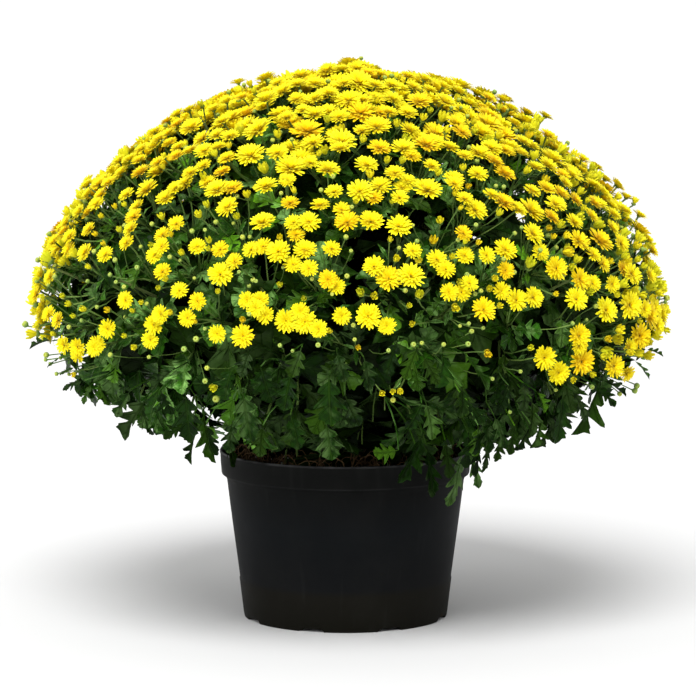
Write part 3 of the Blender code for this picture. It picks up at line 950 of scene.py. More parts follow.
def onCanopy(x, y, lift):  # where the line of sight through a pixel meets the canopy, or passes nearest to it
    eye, ray = pixelRay(x, y)
    best, bestGap = None, math.inf
    for k in range(sight["steps"]):
        spot = eye + ray * (sight["start"] + k * sight["step"])
        gap = -skinDepth(spot) - lift
        if gap < bestGap:
            best, bestGap = spot, gap
        if gap < sight["near"]:
            break
    return best, *anglesOf(best)


flowers = []
taken = {"points": [], "radii": []}


def crowded(point, radius, share):
    apart = np.linalg.norm(np.array(taken["points"]) - np.array(point), axis=1)
    return bool(np.any(apart < share * (np.array(taken["radii"]) + radius)))


def settle(kind, spot, tilt, turn, radius, wobble, frontwards=0.0):  # wobble: three values
    normal = skinNormal(tilt, turn) + (camera.location - spot).normalized() * frontwards
    rise = up * mixed(*layout["upwards"], eased(0.6, 1.35, tilt))
    lean = Vector(polar(1.0, turn)) * layout["outwards"] * (1 - eased(0.5, 1.2, tilt))
    axis = (normal + rise + lean + Vector(wobble)).normalized()
    flowers.append({"kind": kind, "place": spot, "axis": axis, "radius": radius})
    taken["points"].append(spot)
    taken["radii"].append(radius)


def placeSeen(random):
    for kind, look in flowerKinds.items():
        low, high = look["seenRadius"]
        for x, y, width in seen[kind]:
            grown = layout["crestSize"]
            if y > layout["crestEnds"]:
                grown = mixed(*layout["seenSize"], eased(*layout["seenGrows"], x))
            radius = min(high, max(low, width * grown * photo["pixel"] / 2))
            spot, tilt, turn = onCanopy(x, y, random.uniform(*layout["seenLift"]))
            frontwards = layout["frontwards"] * eased(*layout["frontwardsGrows"], y)
            settle(kind, spot, tilt, turn, radius, random.normal(0, look["seenWobble"], 3), frontwards)
    print("flowers placed by eye", len(flowers))


def dent(point, tilt, turn):
    left = layout["leftDent"] * max(0.0, -math.cos(turn)) * (1 - eased(0.9, 1.3, tilt))
    middle, half = layout["crestAt"]
    inside = max(0.0, 1 - ((point.x - middle) / half) ** 2)
    return left + layout["crestDent"] * inside * (1 - eased(0.5, 0.8, tilt))


def shown(point, tilt, turn):  # True on the side that the photograph shows clearly
    if (camera.location - point).normalized().dot(skinNormal(tilt, turn)) < 0.05:
        return False
    x, y = inPhoto(point)
    low = 1 if y > layout["denseBelow"] else 0
    inside = -layout["denseLeft"][low] < x - photo["axisPixel"] < layout["denseRight"][low]
    return y > layout["denseAbove"] and inside


def leftOut(kind, point, tilt, turn, low, random):
    fade = layout["edgeFade"]
    edge = lowestBloom(turn) + flowerKinds[kind]["below"]
    if tilt > edge + fade or random.random() < eased(edge - fade, edge + fade, tilt):
        return True
    if kind == "bud":
        return False
    if shown(point, tilt, turn):
        return True
    flank = abs(math.cos(turn)) ** 3 * eased(0.4, 0.9, tilt)
    if kind == "half":
        return random.random() > mixed(*layout["halfShare"], flank)
    if random.random() < layout["flankBuds"] * flank:
        return True
    return clump(point) < mixed(*layout["bare"], low) and random.random() < layout["bareShare"]


def scatter(kind, random):
    look = flowerKinds[kind]
    made = 0
    for tilt, turn in spiral(layout["candidates"], random):
        point = skinPoint(tilt, turn)
        low = eased(0.35, 1.25, tilt)
        if made >= look["most"] or leftOut(kind, point, tilt, turn, low, random):
            continue
        radius = random.uniform(*look["radius"])
        if crowded(point, radius, mixed(*look["spacing"], low)):
            continue
        spot = skinPoint(tilt, turn, random.uniform(*look["lift"]) - dent(point, tilt, turn))
        settle(kind, spot, tilt, turn, radius, random.normal(0, look["wobble"], 3))
        made += 1
    print("scattered", kind, made)


def placeFlowers():
    random = np.random.default_rng(5)
    placeSeen(random)
    for kind in flowerKinds:
        scatter(kind, random)


placeFlowers()

# Side shoots end in hubs under the canopy's skin
shoots = {
    "candidates": 1400,
    "spacing": 0.056,
    "depth": 0.050,
    "skirtDepth": 0.044,
    "skirt": (1.35, 1.75),  # from straight up: where the skirt of leaves begins, and where it is full
    "lowest": math.radians(149),
    "fromHub": 0.05,        # how far inwards, and again down, of its hub a shoot leaves the main stem
    "radius": (0.0021, 0.0013),
    "inGap": 0.5,           # how thick they are in the skirt's dark gap, as a share of the others
    "mainRadius": (0.0040, 0.0014),
    "knot": 1.12,
}


def stemLine(name, count=9):  # the middle of a main stem's solid, from the crown outwards
    corners = [list(v.co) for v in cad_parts[name].data.vertices]
    corners = np.unique(np.round(corners, 5), axis=0)
    start = corners[corners[:, 2] < corners[:, 2].min() + 0.006].mean(axis=0)
    order = np.argsort(np.linalg.norm(corners - start, axis=1))
    return [Vector(group.mean(axis=0)) for group in np.array_split(corners[order], count)]


mainStems = {branch: stemLine(f"main_stem_{branch}") for branch in branches}


def alongLine(line, share):
    place = share * (len(line) - 1)
    i = min(int(place), len(line) - 2)
    return line[i].lerp(line[i + 1], place - i), (line[i + 1] - line[i]).normalized()


def makeShoots():
    random = np.random.default_rng(9)
    found = []
    for tilt, turn in spiral(shoots["candidates"], random):
        skin = skinPoint(tilt, turn)
        near = any((skin - other["skin"]).length < shoots["spacing"] for other in found)
        if tilt > shoots["lowest"] or near:
            continue
        skirt = eased(*shoots["skirt"], tilt)
        normal = skinNormal(tilt, turn)
        down = (skin - skinPoint(tilt - 0.15, turn)).normalized()
        hub = skin - normal * mixed(shoots["depth"], shoots["skirtDepth"], skirt)
        branch = branchOf(skin)
        line = mainStems[branch]
        goal = hub - normal * shoots["fromHub"] - up * shoots["fromHub"]
        share = min((k / 20 for k in range(5, 20)), key=lambda s: (alongLine(line, s)[0] - goal).length)
        start, ahead = alongLine(line, share)
        gap = (hub - start).length
        arrive = (normal * 0.8 + up * 0.2 * (1 - skirt)).normalized()
        found.append({
            "hub": hub,
            "skin": skin,
            "normal": normal,
            "down": down,
            "aside": normal.cross(down).normalized(),
            "branch": branch,
            "path": curveThrough(start, ahead * gap * 0.35, hub, arrive * gap * 0.35, 7),
            "skirt": skirt,
            "anchors": [],
        })
    return found


shootList = makeShoots()
print("side shoots", len(shootList))

pieces = {branch: {"stems": [], "leaves": [], "blooms": [], "buds": []} for branch in branches}


def nearestShoot(point):
    return min(shootList, key=lambda s: (s["hub"] - point).length_squared)


def addLeaf(branch, shape, forward, face, base, length, random):
    blade = movedShape(shape, framed(forward, face, base, length))
    pieces[branch]["leaves"].append(strewn(blade, random))


def growBract(branch, base, straight, random):
    aside = Vector(random.normal(0, 1, 3)).cross(straight).normalized()
    forward = (straight * 0.9 + aside * random.uniform(0.5, 1.3)).normalized()
    size = random.uniform(*bract["length"])
    face = straight + up * 0.5 - forward * 0.4
    addLeaf(branch, drawn(bractShapes, random), forward, face, base, size, random)


def growFlowers():
    random = np.random.default_rng(14)
    for flower in flowers:
        kind = flowerKinds[flower["kind"]]
        place, axis, radius = flower["place"], flower["axis"], flower["radius"]
        shape = drawn(kind["shapes"], random)
        stance = aimed(axis, random.uniform(0, fullTurn), place, radius)
        shoot = nearestShoot(place - axis * 0.045)
        parts = pieces[shoot["branch"]]
        parts[kind["goesTo"]].append(strewn(movedShape(shape, stance), random))
        end = place - axis * kind["neck"] * radius
        out = end - shoot["hub"]
        beside = (out - shoot["normal"] * out.dot(shoot["normal"])).length
        share = min(1.0, max(0.5, 1.04 - 8.0 * beside + random.uniform(-0.10, 0.10)))
        start, ahead = alongLine(shoot["path"], share)
        gap = (end - start).length
        straight = (end - start).normalized()
        leave, arrive = (ahead * 1.6 + straight) * gap * 0.20, (axis + straight) * gap * 0.16
        path = curveThrough(start, leave, end, arrive, 5)
        radii = [kind["stalk"] * share for share in tapered((1.25, 0.9), 5)]
        radii[-1] = kind["stalk"] * 1.5     # it widens into the calyx
        parts["stems"].append(strewn(tube(path, radii, 3), random))
        for k in range(kind["bracts"]):
            base = path[1 + k].lerp(path[2 + k], random.uniform(0.0, 0.9))
            growBract(shoot["branch"], base, straight, random)
        if kind["bracts"]:
            shoot["anchors"] += path[1:3]


growFlowers()

# Leaves that stand out in the photograph, read off it: x and y of the blade's foot and of its tip, and its
# width, all in its pixels
seenLeaves = (
    (329, 383, 328, 424, 26), (327, 429, 331, 460, 21), (429, 402, 458, 413, 18), (427, 407, 436, 438, 17),
    (420, 407, 411, 429, 15), (420, 440, 402, 484, 15), (416, 448, 420, 469, 11), (395, 451, 375, 456, 16),
    (428, 453, 436, 496, 13), (461, 458, 456, 507, 22), (462, 391, 463, 416, 13), (478, 442, 479, 476, 9),
    (488, 440, 487, 472, 8), (470, 452, 484, 486, 12), (128, 394, 114, 416, 22), (143, 404, 119, 435, 20),
    (142, 405, 146, 429, 10), (186, 400, 189, 440, 27), (204, 418, 209, 463, 13), (195, 437, 186, 462, 9),
    (244, 400, 249, 441, 24), (162, 394, 170, 415, 15), (90, 387, 81, 403, 13), (100, 385, 107, 406, 9),
    (156, 410, 161, 433, 8), (184, 425, 164, 438, 13), (58, 359, 46, 366, 6), (49, 341, 29, 343, 6),
    (81, 381, 62, 385, 10), (73, 368, 59, 373, 8), (170, 372, 150, 386, 12), (231, 372, 222, 398, 20),
    (262, 372, 270, 402, 22), (290, 378, 282, 410, 22), (232, 425, 226, 452, 16), (262, 430, 258, 456, 16),
    (292, 420, 300, 448, 18), (347, 400, 358, 426, 18), (597, 390, 581, 438, 20), (599, 388, 616, 406, 15),
    (562, 400, 561, 444, 20), (636, 362, 652, 377, 13), (524, 387, 528, 410, 17), (538, 394, 548, 410, 13),
    (468, 358, 491, 386, 11), (496, 421, 467, 456, 18), (532, 404, 534, 435, 12), (526, 434, 505, 449, 10),
    (552, 420, 541, 450, 10), (575, 395, 590, 418, 16), (507, 390, 497, 415, 15), (415, 352, 404, 378, 14),
    (396, 345, 385, 372, 16), (425, 360, 438, 384, 14), (470, 404, 486, 424, 14), (648, 350, 664, 353, 6),
    (606, 382, 628, 392, 9), (300, 352, 292, 376, 16), (248, 354, 240, 376, 15), (338, 356, 346, 380, 15),
    (365, 362, 372, 388, 14), (540, 423, 539, 448, 14), (529, 428, 519, 452, 13), (514, 430, 510, 455, 13),
    (549, 418, 557, 438, 13), (500, 438, 498, 462, 12), (486, 424, 493, 452, 15), (478, 430, 476, 456, 14),
    (468, 438, 466, 468, 15), (496, 420, 508, 446, 14), (207, 428, 214, 456, 14), (446, 446, 450, 478, 15),
)

foliage = {
    "each": 7.0,            # leaves on a shoot under the blooms
    "skirtEach": 9.0,
    "length": (0.030, 0.044),
    "skirtLength": (0.040, 0.058),
    "from": (0.55, 0.75, 0.9, 1.0, 1.0),         # where along a shoot they grow
    "clearHeight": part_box("pot")[1].z + 0.018,   # no tip hangs lower than this over the pot
    "clearRadius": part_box("pot")[1].y + 0.020,
    "under": 0.024,         # how far below the skin a tip stays among the blooms
    "past": 0.006,          # and how far past it in the skirt
    "largeFrom": 0.3,       # how far into the skirt the leaves are large
    "paintedLightLeft": 0.85,      # the share of leaves on the skirt's left that get the material of those on top, a painted light on that side
    "paintedLightUpTo": -0.10,     # m: x, up to which that painted light reaches
    "gap": (374, 418),      # px: the dark gap in the skirt's front, its middle
    "gapHalf": (20, 34),    # px
    "inner": 6,             # plainer leaves deeper on each shoot, which close the view through; on the lower shoots they are dark with painted shade
    "innerLength": (0.055, 0.080),
    "core": 14,             # leaves along each main stem, dark with painted shade, which do the same
    "coreLength": (0.070, 0.095),
    "coreDepth": 0.040,     # how far below the skin their tips stay
    "seenStalk": (0.0012, 0.0008),
}


def inGap(point):
    apart = ((a - b) / c for a, b, c in zip(inPhoto(point), foliage["gap"], foliage["gapHalf"]))
    return point.y < 0 and sum(share**2 for share in apart) < 1


def growOuterLeaves(shoot, random):
    skirt, normal = shoot["skirt"], shoot["normal"]
    large = skirt > foliage["largeFrom"]
    count = int(round(mixed(foliage["each"], foliage["skirtEach"], skirt) + random.uniform(-0.5, 0.5)))
    spots = [alongLine(shoot["path"], share)[0] for share in foliage["from"]] + shoot["anchors"]
    low, high = (mixed(a, b, skirt) for a, b in zip(foliage["length"], foliage["skirtLength"]))
    for k in range(count):
        base = spots[(k * 3 + int(random.integers(3))) % len(spots)]
        length = random.uniform(low, high)
        room = skinDepth(base) - foliage["under"] * (1 - skirt) + foliage["past"] * skirt
        outward = min(0.85, max(0.05, room / length)) * random.uniform(0.6, 1.0)
        around = random.uniform(0, fullTurn)
        flat = shoot["down"] * (math.cos(around) + 1.15 * skirt) + shoot["aside"] * math.sin(around)
        forward = flat.normalized() * math.sqrt(1 - outward**2) + normal * outward
        tip = base + forward * length
        if tip.z < foliage["clearHeight"] and math.hypot(tip.x, tip.y) < foliage["clearRadius"]:
            continue
        if any(inGap(base.lerp(tip, share)) for share in (0.3, 0.65, 1.0)):
            continue
        face = (normal + up * 0.35 + Vector(random.normal(0, 0.30, 3))).normalized()
        shape = drawn(leafShapes if large else smallLeafShapes, random)
        # painted light: on the skirt's left, most large leaves take the brighter material of those on top
        if large and shoot["skin"].x < foliage["paintedLightUpTo"] and random.random() < foliage["paintedLightLeft"]:
            shape = inSlot(shape, 2)
        addLeaf(shoot["branch"], shape, forward, face, base, length, random)


def growInnerLeaves(shoot, random):
    for _ in range(foliage["inner"]):
        base = alongLine(shoot["path"], random.uniform(0.30, 0.85))[0]
        flat = shoot["down"] * random.normal(0, 1) + shoot["aside"] * random.normal(0, 1)
        forward = (flat + shoot["normal"] * 0.2).normalized()
        face = (shoot["normal"] + Vector(random.normal(0, 0.30, 3))).normalized()
        shape = drawn(plainLeafShapes, random)
        # on the upper shoots they take the skirt's material, without the painted shade of slot 1
        if shoot["skirt"] < 0.5:
            shape = inSlot(shape, 0)
        length = random.uniform(*foliage["innerLength"])
        addLeaf(shoot["branch"], shape, forward, face, base, length, random)


def growCoreLeaves(branch, line, random):
    for _ in range(foliage["core"]):
        base = alongLine(line, random.uniform(0.25, 0.95))[0]
        face = (base * Vector((1, 1, 0)) + Vector(random.normal(0, 0.04, 3))).normalized()
        forward = face.cross(Vector(random.normal(0, 1, 3))).normalized()
        shape = drawn(plainLeafShapes, random)
        length = random.uniform(*foliage["coreLength"])
        if skinDepth(base + forward * length) >= foliage["coreDepth"]:
            addLeaf(branch, shape, forward, face, base, length, random)


def leafCount():
    return sum(len(parts["leaves"]) for parts in pieces.values())


def growLeaves():
    random = np.random.default_rng(17)
    before = leafCount()
    for shoot in shootList:
        growOuterLeaves(shoot, random)
        growInnerLeaves(shoot, random)
    for branch, line in mainStems.items():
        growCoreLeaves(branch, line, random)
    print("leaves", leafCount() - before)


growLeaves()


def growSeenLeaves():
    random = np.random.default_rng(41)
    for footX, footY, tipX, tipY, width in seenLeaves:
        foot, tilt, turn = onCanopy(footX, footY, -0.004)
        eye, ray = pixelRay(tipX, tipY)
        outward = (skinNormal(tilt, turn) * Vector((1, 1, 0.4))).normalized()
        depth = (foot + outward * 0.006 - eye).dot((foot - eye).normalized())
        forward = eye + ray * depth - foot
        length = forward.length / (1 - leaf["stalk"])
        forward.normalize()
        base = foot - forward * length * leaf["stalk"]
        face = (outward + up * 0.55 + Vector(random.normal(0, 0.10, 3))).normalized()
        narrow = min(1.25, width * photo["pixel"] / (length * 1.7 * leaf["halfWidth"]))
        shape = movedShape(drawn(leafShapes, random), Matrix.Scale(narrow, 4, Vector((0, 1, 0))))
        shoot = nearestShoot(base - skinNormal(tilt, turn) * 0.03)
        addLeaf(shoot["branch"], shape, forward, face, base, length, random)
        start, ahead = alongLine(shoot["path"], 0.85)
        gap = (base - start).length
        path = curveThrough(start, ahead * gap * 0.1, base, (forward * 0.15 + outward * 0.9) * gap * 0.8, 7)
        stalk = tube(path, tapered(foliage["seenStalk"], 7), 5, 2)
        pieces[shoot["branch"]]["leaves"].append(strewn(stalk, random))
    print("leaves placed by eye", len(seenLeaves))


growSeenLeaves()


def growStems():
    random = np.random.default_rng(29)
    for shoot in shootList:
        thin = shoots["inGap"] if any(inGap(point) for point in shoot["path"]) else 1.0
        radii = [radius * thin for radius in tapered(shoots["radius"], 7)]
        pieces[shoot["branch"]]["stems"].append(strewn(tube(shoot["path"], radii, 7), random))
    for branch, line in mainStems.items():
        path = [alongLine(line, k / 16)[0] for k in range(17)]
        radii = tapered(shoots["mainRadius"], 17)
        radii = [radius * (shoots["knot"] if k % 4 == 2 else 1.0) for k, radius in enumerate(radii)]
        pieces[branch]["stems"].append(strewn(tube(path, radii, 12, slot=1), random))


growStems()

# name of the piece, what it is made of, its materials, its slot and the node it replaces
sprays = (
    ("stems", "stems", ("stem", "wood"), "stems", "main_stem"),
    ("leafSpray", "leaves", ("leaf", "innerLeafPaintedShade", "topLeafPaintedLight"), "leaves", "leaves"),
    ("bloomSpray", "blooms", ("petal", "calyx", "youngPetal"), "blooms", "blooms"),
    ("budSpray", "buds", ("bud", "calyx"), "blooms", None),
)


def buildPlant():
    for branch, parts in pieces.items():
        for name, kind, finishes, slot, replaced in sprays:
            if parts[kind]:
                nodes = [f"{replaced}_{branch}"] if replaced else []
                makePiece(f"{name}_{branch}", parts[kind], [materials[f] for f in finishes], nodes)
    print("plant built")


buildPlant()

# Pot: the tub's wall turned about its axis, with notches in its foot and holes in its floor
pot = {
    "height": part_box("pot")[1].z,
    "rimRadius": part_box("pot")[1].y,
    "footRadius": 0.1235,
    "wallTopRadius": 0.1440,
    "rimBand": 0.028,
    "shoulder": 0.007,
    "rimTaper": 0.002,
    "wall": 0.002,
    "footBand": 0.047,
    "footStep": 0.0008,
    "standHeight": 0.005,
    "standWidth": 0.010,
    "notches": 8,
    "notchTurn": math.radians(-64.0),
    "notchWidth": 0.030,
    "notchHeight": 0.0035,
    "notchTop": 0.006,      # the foot is whole from here up
    "holeCircle": 0.103,
    "holeRadius": 0.006,
    "holeSides": 16,
    "sides": 240,
}


def potWallRadius(height):
    share = height / (pot["height"] - pot["rimBand"] - pot["shoulder"])
    return mixed(pot["footRadius"], pot["wallTopRadius"], share)


def potProfile():  # from the inside of the foot, round the outside, over the lip and down the inside
    top, rim, foot = pot["height"], pot["rimRadius"], pot["footRadius"]
    wall, step, footBand = pot["wall"], pot["footStep"], pot["footBand"]
    bandBottom = top - pot["rimBand"]
    shoulderBottom = bandBottom - pot["shoulder"]
    lower = rim - pot["rimTaper"]
    points = [(foot - pot["standWidth"], pot["standHeight"]), (foot - pot["standWidth"], 0.0)]
    points += [(foot - 0.0012, 0.0), (foot - 0.0003, 0.0004), (foot, 0.0014)]
    points += [(potWallRadius(z), z) for z in (0.006, 0.012, footBand - 0.001)]
    points.append((potWallRadius(footBand) - step, footBand + 0.0004))
    for z in (0.075, 0.105, 0.135, shoulderBottom - 0.002):
        points.append((potWallRadius(z) - step * (1 - eased(0.05, 0.14, z)), z))
    points += [
        (potWallRadius(shoulderBottom) + 0.0006, shoulderBottom + 0.001),
        (lower - 0.003, bandBottom - 0.0012),
        (lower - 0.0004, bandBottom - 0.0006),
        (lower, bandBottom + 0.0008),
        (mixed(lower, rim, 0.5), bandBottom + 0.014),
        (rim - 0.0006, top - 0.005),
        (rim, top - 0.0034),
        (rim, top - 0.0016),
        (rim - 0.0007, top - 0.0003),
        (rim - 0.0016, top),
        (rim - 0.0026, top - 0.0006),
        (rim - 0.0031, top - 0.0022),
        (lower - wall - 0.0005, bandBottom),
        (pot["wallTopRadius"] - wall, shoulderBottom),
    ]
    return points + [(potWallRadius(z) - wall, z) for z in (0.10, pot["standHeight"] + 0.002)]


def notchLift(turn):  # how much the foot is cut away at that turn
    pitch = fullTurn / pot["notches"]
    off = (turn - pot["notchTurn"] + pitch / 2) % pitch - pitch / 2
    half = pot["notchWidth"] / 2 / pot["footRadius"]
    return pot["notchHeight"] * (1 - eased(half * 0.86, half, abs(off)))


def uvFromAbove(points, width):
    return [(0.5 + p[0] / width, 0.5 + p[1] / width) for p in points]


def discWithHoles(height, radius, holes, faceUp):
    shape = bmesh.new()
    edges = []
    for x, y, size, count in [(0.0, 0.0, radius, pot["sides"])] + holes:
        around = [polar(size, turn) for turn in turnsOf(count)[:-1]]
        ring = [shape.verts.new((x + p[0], y + p[1], height)) for p in around]
        edges += [shape.edges.new((ring[i], ring[(i + 1) % count])) for i in range(count)]
    bmesh.ops.triangle_fill(shape, use_beauty=True, use_dissolve=False, edges=edges)
    for face in shape.faces:
        if (face.normal.z > 0) != faceUp:
            face.normal_flip()
    points = [tuple(v.co) for v in shape.verts]
    faces = [[v.index for v in face.verts] for face in shape.faces]
    shape.free()
    return makeShape(points, faces, uvFromAbove(points, 0.36))


def potShape():
    rows, uvRows = [], []
    travelled = 0.0
    profile = potProfile()
    for k, (radius, height) in enumerate(profile):
        travelled += math.dist(profile[k - 1], profile[k]) if k else 0.0
        cut = 1 - eased(0.0, pot["notchTop"], height) if k else 0.0
        rows.append([polar(radius, turn, height + notchLift(turn) * cut) for turn in turnsOf(pot["sides"])])
        uvRows.append([(i / pot["sides"], travelled / 0.5) for i in range(pot["sides"] + 1)])
    holes = []
    for i in range(pot["notches"]):
        x, y, _ = polar(pot["holeCircle"], pot["notchTurn"] + i * fullTurn / pot["notches"])
        holes.append((x, y, pot["holeRadius"], pot["holeSides"]))
    bottom, top = pot["standHeight"], pot["standHeight"] + 0.002
    parts = [strip(rows, uvRows)]
    parts.append(discWithHoles(bottom, pot["footRadius"] - pot["standWidth"], holes, False))
    parts.append(discWithHoles(top, potWallRadius(top) - pot["wall"], holes, True))
    for x, y, radius, sides in holes:
        hole = lathe([(radius, top), (radius, bottom)], sides)
        parts.append(movedShape(hole, Matrix.Translation((x, y, 0.0))))
    return parts


potLook = {
    "surface": (0.5, 0.05),
    "perMetre": 4.9,        # turns a height into a share of the pot's
    "bands": (              # at what share, and the plastic's colour there; its bluish middle is a painted sheen
        (0.00, (0.0052, 0.0050, 0.0032)), (0.215, (0.0056, 0.0052, 0.0036)),
        (0.250, (0.0040, 0.0045, 0.0050)), (0.60, (0.0042, 0.0052, 0.0060)),
        (0.84, (0.0030, 0.0033, 0.0032)), (0.98, (0.0040, 0.0044, 0.0040)),
    ),
    "edges": ((0.853, 0.0), (0.861, 0.10), (0.869, 0.0), (0.986, 0.0), (0.994, 0.8)),  # how strongly the painted highlight lies there: a line on the band's seam and on the lip's crest
    "edgeHighlight": (0.130, 0.130, 0.132),
    "dust": (0.036, 0.035, 0.031),
    "dustMost": 0.10,
    "streaks": (0.040, 0.040, 0.038),
    "streaksMost": 0.10,
    "grains": (0.12, 0.11, 0.09),
    "roughness": (0.52, 0.70),
    "bump": (0.12, 0.0006),
}


def potMaterial():
    material, tree, shader = startMaterial("potPlastic", *potLook["surface"])
    place = node(tree, "TexCoord").outputs["Object"]
    share = times(tree, node(tree, "SeparateXYZ", {0: place}).outputs["Z"], potLook["perMetre"])
    tint = ramp(tree, share, potLook["bands"])
    # where the painted highlight lines lie
    edges = ramp(tree, share, [(height, (wear, wear, wear)) for height, wear in potLook["edges"]])
    cloud = noiseOf(tree, place, 11.0, 5.0, Roughness=0.6)
    runs = noiseOf(tree, place, (90.0, 90.0, 5.0), 3.0)
    specks = node(tree, "TexVoronoi", {"Vector": place, "Scale": 420.0}).outputs["Distance"]
    dust = times(tree, mask(tree, cloud, 0.45, 0.75), potLook["dustMost"])
    tint = blended(tree, tint, potLook["dust"], dust)
    streaks = times(tree, mask(tree, runs, 0.58, 0.80), potLook["streaksMost"])
    tint = blended(tree, tint, potLook["streaks"], streaks)
    patchy = ramp(tree, cloud, [(0.38, (0.1, 0.1, 0.1)), (0.60, white)])
    # painted highlight: a light grey line on the band's seam and the lip's crest, broken up in patches
    tint = blended(tree, tint, potLook["edgeHighlight"], blended(tree, edges, patchy, 1.0, "MULTIPLY"))
    grains = ramp(tree, specks, [(0.03, (0.6, 0.6, 0.6)), (0.09, black)])
    few = mask(tree, cloud, 0.52, 0.62, 0.35)
    tint = blended(tree, tint, potLook["grains"], blended(tree, grains, few, 1.0, "MULTIPLY"))
    low, high = potLook["roughness"]
    span = {"Value": cloud, "From Min": 0.3, "From Max": 0.7, "To Min": low, "To Max": high}
    tree.links.new(node(tree, "MapRange", span).outputs[0], shader.inputs["Roughness"])
    finish(tree, shader, tint, maths(tree, "ADD", runs, cloud), potLook["bump"])
    return material


# Potting mix: bark and peat with a few grains of perlite
soil = {
    "edgeHeight": 0.190,
    "mound": 0.006,
    "radius": 0.1465,
    "rough": 0.0032,
    "sides": 96,
    "rings": 24,
    "bottom": 0.0075,
    "chips": 420,
    "chipLength": (0.006, 0.022),
    "chipLean": 0.16,
    "perlite": 70,
    "perliteRadius": (0.0012, 0.0026),
    "fibres": 130,
    "fibreRadius": 0.0007,
    "fibreSwing": 0.35,     # radians between a fibre's ends, at most
    "fibreTop": 0.013,      # how far the highest fibre stands above the rim
}


def soilHeight(x, y):
    share = min(1.0, math.hypot(x, y) / soil["radius"])
    coarse = noise.noise(Vector((x, y, 0.0)) * 42.0) + 0.5 * noise.noise(Vector((x, y, 3.0)) * 110.0)
    return soil["edgeHeight"] + soil["mound"] * (1 - share * share) + soil["rough"] * coarse


def soilSpot(margin, random):
    radius = (soil["radius"] - margin) * math.sqrt(random.random())
    turn = random.uniform(0, fullTurn)
    x, y, _ = polar(radius, turn)
    return x, y, soilHeight(x, y), turn


def soilBody():
    rows = []
    for k in range(soil["rings"] + 1):
        radius = soil["radius"] * math.sqrt((k + 0.3) / (soil["rings"] + 0.3))
        level = [soilHeight(*polar(radius, turn % fullTurn)[:2]) for turn in turnsOf(soil["sides"])]
        rows.append([polar(radius, turn, z) for turn, z in zip(turnsOf(soil["sides"]), level)])
    foot = potWallRadius(soil["bottom"]) - pot["wall"] - 0.0008
    for radius, z in ((soil["radius"] - 0.004, 0.170), (foot, soil["bottom"]), (0.02, soil["bottom"])):
        rows.append([polar(radius, turn, z) for turn in turnsOf(soil["sides"])])
    return strip(rows, [uvFromAbove(row, 0.3) for row in rows])


# a chip's eight corners, in halves of its length, width and thickness, and its faces
chipCorners = (
    (-1, -1, -1), (1, -0.7, -1), (0.9, 0.8, -1), (-0.8, 1, -1),
    (-1, -0.8, 1), (0.9, -0.6, 1), (1, 0.7, 1), (-0.9, 0.7, 1),
)
chipFaces = ((3, 2, 1, 0), (4, 5, 6, 7), (0, 1, 5, 4), (1, 2, 6, 5), (2, 3, 7, 6), (3, 0, 4, 7))


def soilChip(random):
    x, y, z, _ = soilSpot(0.012, random)
    length = random.uniform(*soil["chipLength"])
    half = Vector((length / 2, length * random.uniform(0.06, 0.16), random.uniform(0.0007, 0.0018)))
    corners = [(a * half.x, b * half.y, c * half.z) for a, b, c in chipCorners]
    uv = (0.1 + 0.8 * random.random(), 0.1 + 0.8 * random.random())
    chip = makeShape(corners, chipFaces, [uv] * len(corners), 1)
    lean = [Matrix.Rotation(random.normal(0, soil["chipLean"]), 4, axis) for axis in "XY"]
    spin = Matrix.Rotation(random.uniform(0, fullTurn), 4, "Z")
    return movedShape(chip, Matrix.Translation((x, y, z + half.z * 0.6)) @ lean[0] @ lean[1] @ spin)


def perliteGrain(random):
    x, y, z, turn = soilSpot(0.006, random)
    size = random.uniform(*soil["perliteRadius"])
    grain = lathe([(0.05, -0.9), (0.95, -0.3), (0.70, 0.7), (0.05, 0.95)], 5, 2)
    return movedShape(grain, aimed(up, turn * 7, Vector((x, y, z + size * 0.5)), size))


def soilFibre(random):
    ends = []
    turn = random.uniform(0, fullTurn)
    for swing in (0.0, random.uniform(-soil["fibreSwing"], soil["fibreSwing"])):
        x, y, _ = polar(random.uniform(0.100, soil["radius"] - 0.004), turn + swing)
        ends.append(Vector((x, y, soilHeight(x, y) - 0.002)))
    rise = random.uniform(0.4, 1.0) * (pot["height"] + soil["fibreTop"] - soil["edgeHeight"]) * 1.33
    lean = Vector(random.normal(0, 0.010, 3))
    path = curveThrough(ends[0], up * rise + lean, ends[1], up * -rise + lean, 6)
    return tube(path, [soil["fibreRadius"]] * 6, 3, 1)


def soilShape():
    random = np.random.default_rng(3)
    parts = [soilBody()]
    for make, kind in ((soilChip, "chips"), (perliteGrain, "perlite"), (soilFibre, "fibres")):
        parts += [make(random) for _ in range(soil[kind])]
    return parts


soilLooks = {               # dark, light, and how fine the grain is
    "soilPeat": ((0.020, 0.012, 0.006), (0.085, 0.052, 0.026), 160.0),
    "soilBark": ((0.050, 0.028, 0.012), (0.210, 0.130, 0.062), 260.0),
    "soilPerlite": ((0.50, 0.48, 0.44), (0.78, 0.77, 0.74), 500.0),
}


def soilMaterial(name):
    dark, light, scale = soilLooks[name]
    material, tree, shader = startMaterial(name, 0.9, 0.12)
    place = node(tree, "TexCoord").outputs["Object"]
    grain = noiseOf(tree, place, scale, 5.0, Roughness=0.65)
    colour = ramp(tree, grain, [(0.32, dark), (0.70, light)])
    shade = ramp(tree, noiseOf(tree, place, scale / 9, 2.0), [(0.3, (0.45, 0.43, 0.40)), (0.65, white)])
    finish(tree, shader, blended(tree, colour, shade, 0.8, "MULTIPLY"), grain, (0.8, 0.0012))
    return material


crown = {
    "sides": 72,
    "radius": 0.97,         # of the frame's
    "profile": (            # share of the radius, and how high up
        (0.86, 0.0), (0.98, 0.25), (1.0, 0.5), (0.90, 0.72), (0.72, 0.88), (0.40, 0.96), (0.02, 0.98),
    ),
    "tile": 3,
}


def crownLobes(turn, level):
    wide = 0.10 * (0.5 + 0.5 * math.sin(7 * turn + 2.2 * level))
    return 1 - wide - 0.05 * (0.5 + 0.5 * math.sin(17 * turn + 1.0))


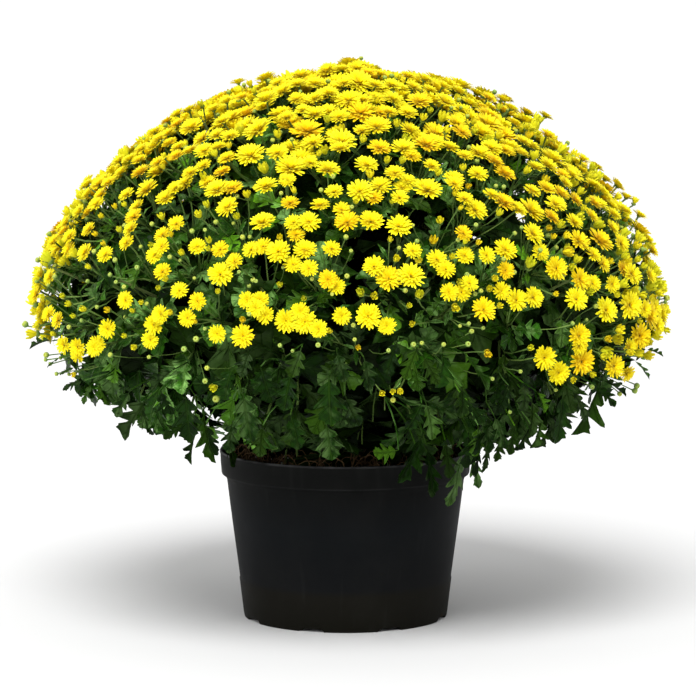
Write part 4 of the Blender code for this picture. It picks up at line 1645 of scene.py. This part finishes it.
def crownShape():  # the woody stump that the main stems leave
    low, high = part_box("root_crown")
    radius = (high.x - low.x) / 2 * crown["radius"]
    rows, uvRows = [], []
    for share, level in crown["profile"]:
        z = mixed(low.z, high.z, level)
        turns = [turn % fullTurn for turn in turnsOf(crown["sides"])]
        rows.append([polar(radius * share * crownLobes(turn, level), turn, z) for turn in turns])
        uvRows.append([(i / crown["sides"], level) for i in range(crown["sides"] + 1)])
    return [tiledShape(strip(rows, uvRows), crown["tile"])]


def buildPot():
    makePiece("potTub", potShape(), [potMaterial()], ["pot"])
    grains = [soilMaterial(name) for name in soilLooks]
    makePiece("pottingMix", soilShape(), grains, ["potting_mix"])
    makePiece("rootCrown", crownShape(), [materials["wood"]], ["root_crown"])
    print("pot, potting mix and root crown built")


buildPot()

# Studio
studio = {
    "floor": (0.76, 0.76, 0.76),
    "floorHalf": 40.0,      # m
    "horizon": 1.0,         # brightness of the surroundings level with the plant
    "above": 0.70,          # and overhead
    "lampsLookAt": (0, 0, 0.35),
    "lamps": (              # name, kind, place, size and power; the sun's size is an angle
        ("softSun", "SUN", (-0.2, -2.2, 3.2), math.radians(32), 2.9),
        ("left", "AREA", (-2.5, -2.4, 1.3), 1.8, 28.0),
    ),
}


def makeFloor():
    shape = bmesh.new()
    bmesh.ops.create_grid(shape, x_segments=1, y_segments=1, size=studio["floorHalf"])
    mesh = bpy.data.meshes.new("floor")
    shape.to_mesh(mesh)
    shape.free()
    floor = bpy.data.objects.new("floor", mesh)
    bpy.context.scene.collection.objects.link(floor)
    material, tree, shader = startMaterial("floorPale", 0.9, 0.1)
    grain = node(tree, "TexNoise", {"Scale": 60.0, "Detail": 2.0}).outputs["Fac"]
    tone = ramp(tree, grain, [(0.3, tuple(c * 0.985 for c in studio["floor"])), (0.7, studio["floor"])])
    tree.links.new(tone, shader.inputs["Base Color"])
    mesh.materials.append(material)


def makeSky():
    world = bpy.data.worlds.new("studio")
    world.use_nodes = True
    tree = world.node_tree
    height = node(tree, "SeparateXYZ", {0: node(tree, "TexCoord").outputs["Generated"]}).outputs["Z"]
    sky = ramp(tree, height, [(0.09, (studio["horizon"],) * 3), (0.22, (studio["above"],) * 3)])
    tree.links.new(sky, tree.nodes["Background"].inputs["Color"])
    bpy.context.scene.world = world


def makeLamps():
    for name, kind, place, size, power in studio["lamps"]:
        data = bpy.data.lights.new(name, kind)
        data.energy = power
        setattr(data, "angle" if kind == "SUN" else "size", size)
        lamp = bpy.data.objects.new(name, data)
        lamp.location = place
        away = Vector(studio["lampsLookAt"]) - Vector(place)
        lamp.rotation_euler = away.to_track_quat("-Z", "Y").to_euler()
        bpy.context.scene.collection.objects.link(lamp)


makeFloor()
makeSky()
makeLamps()
bpy.context.scene.view_settings.view_transform = "Standard"
print("studio made")
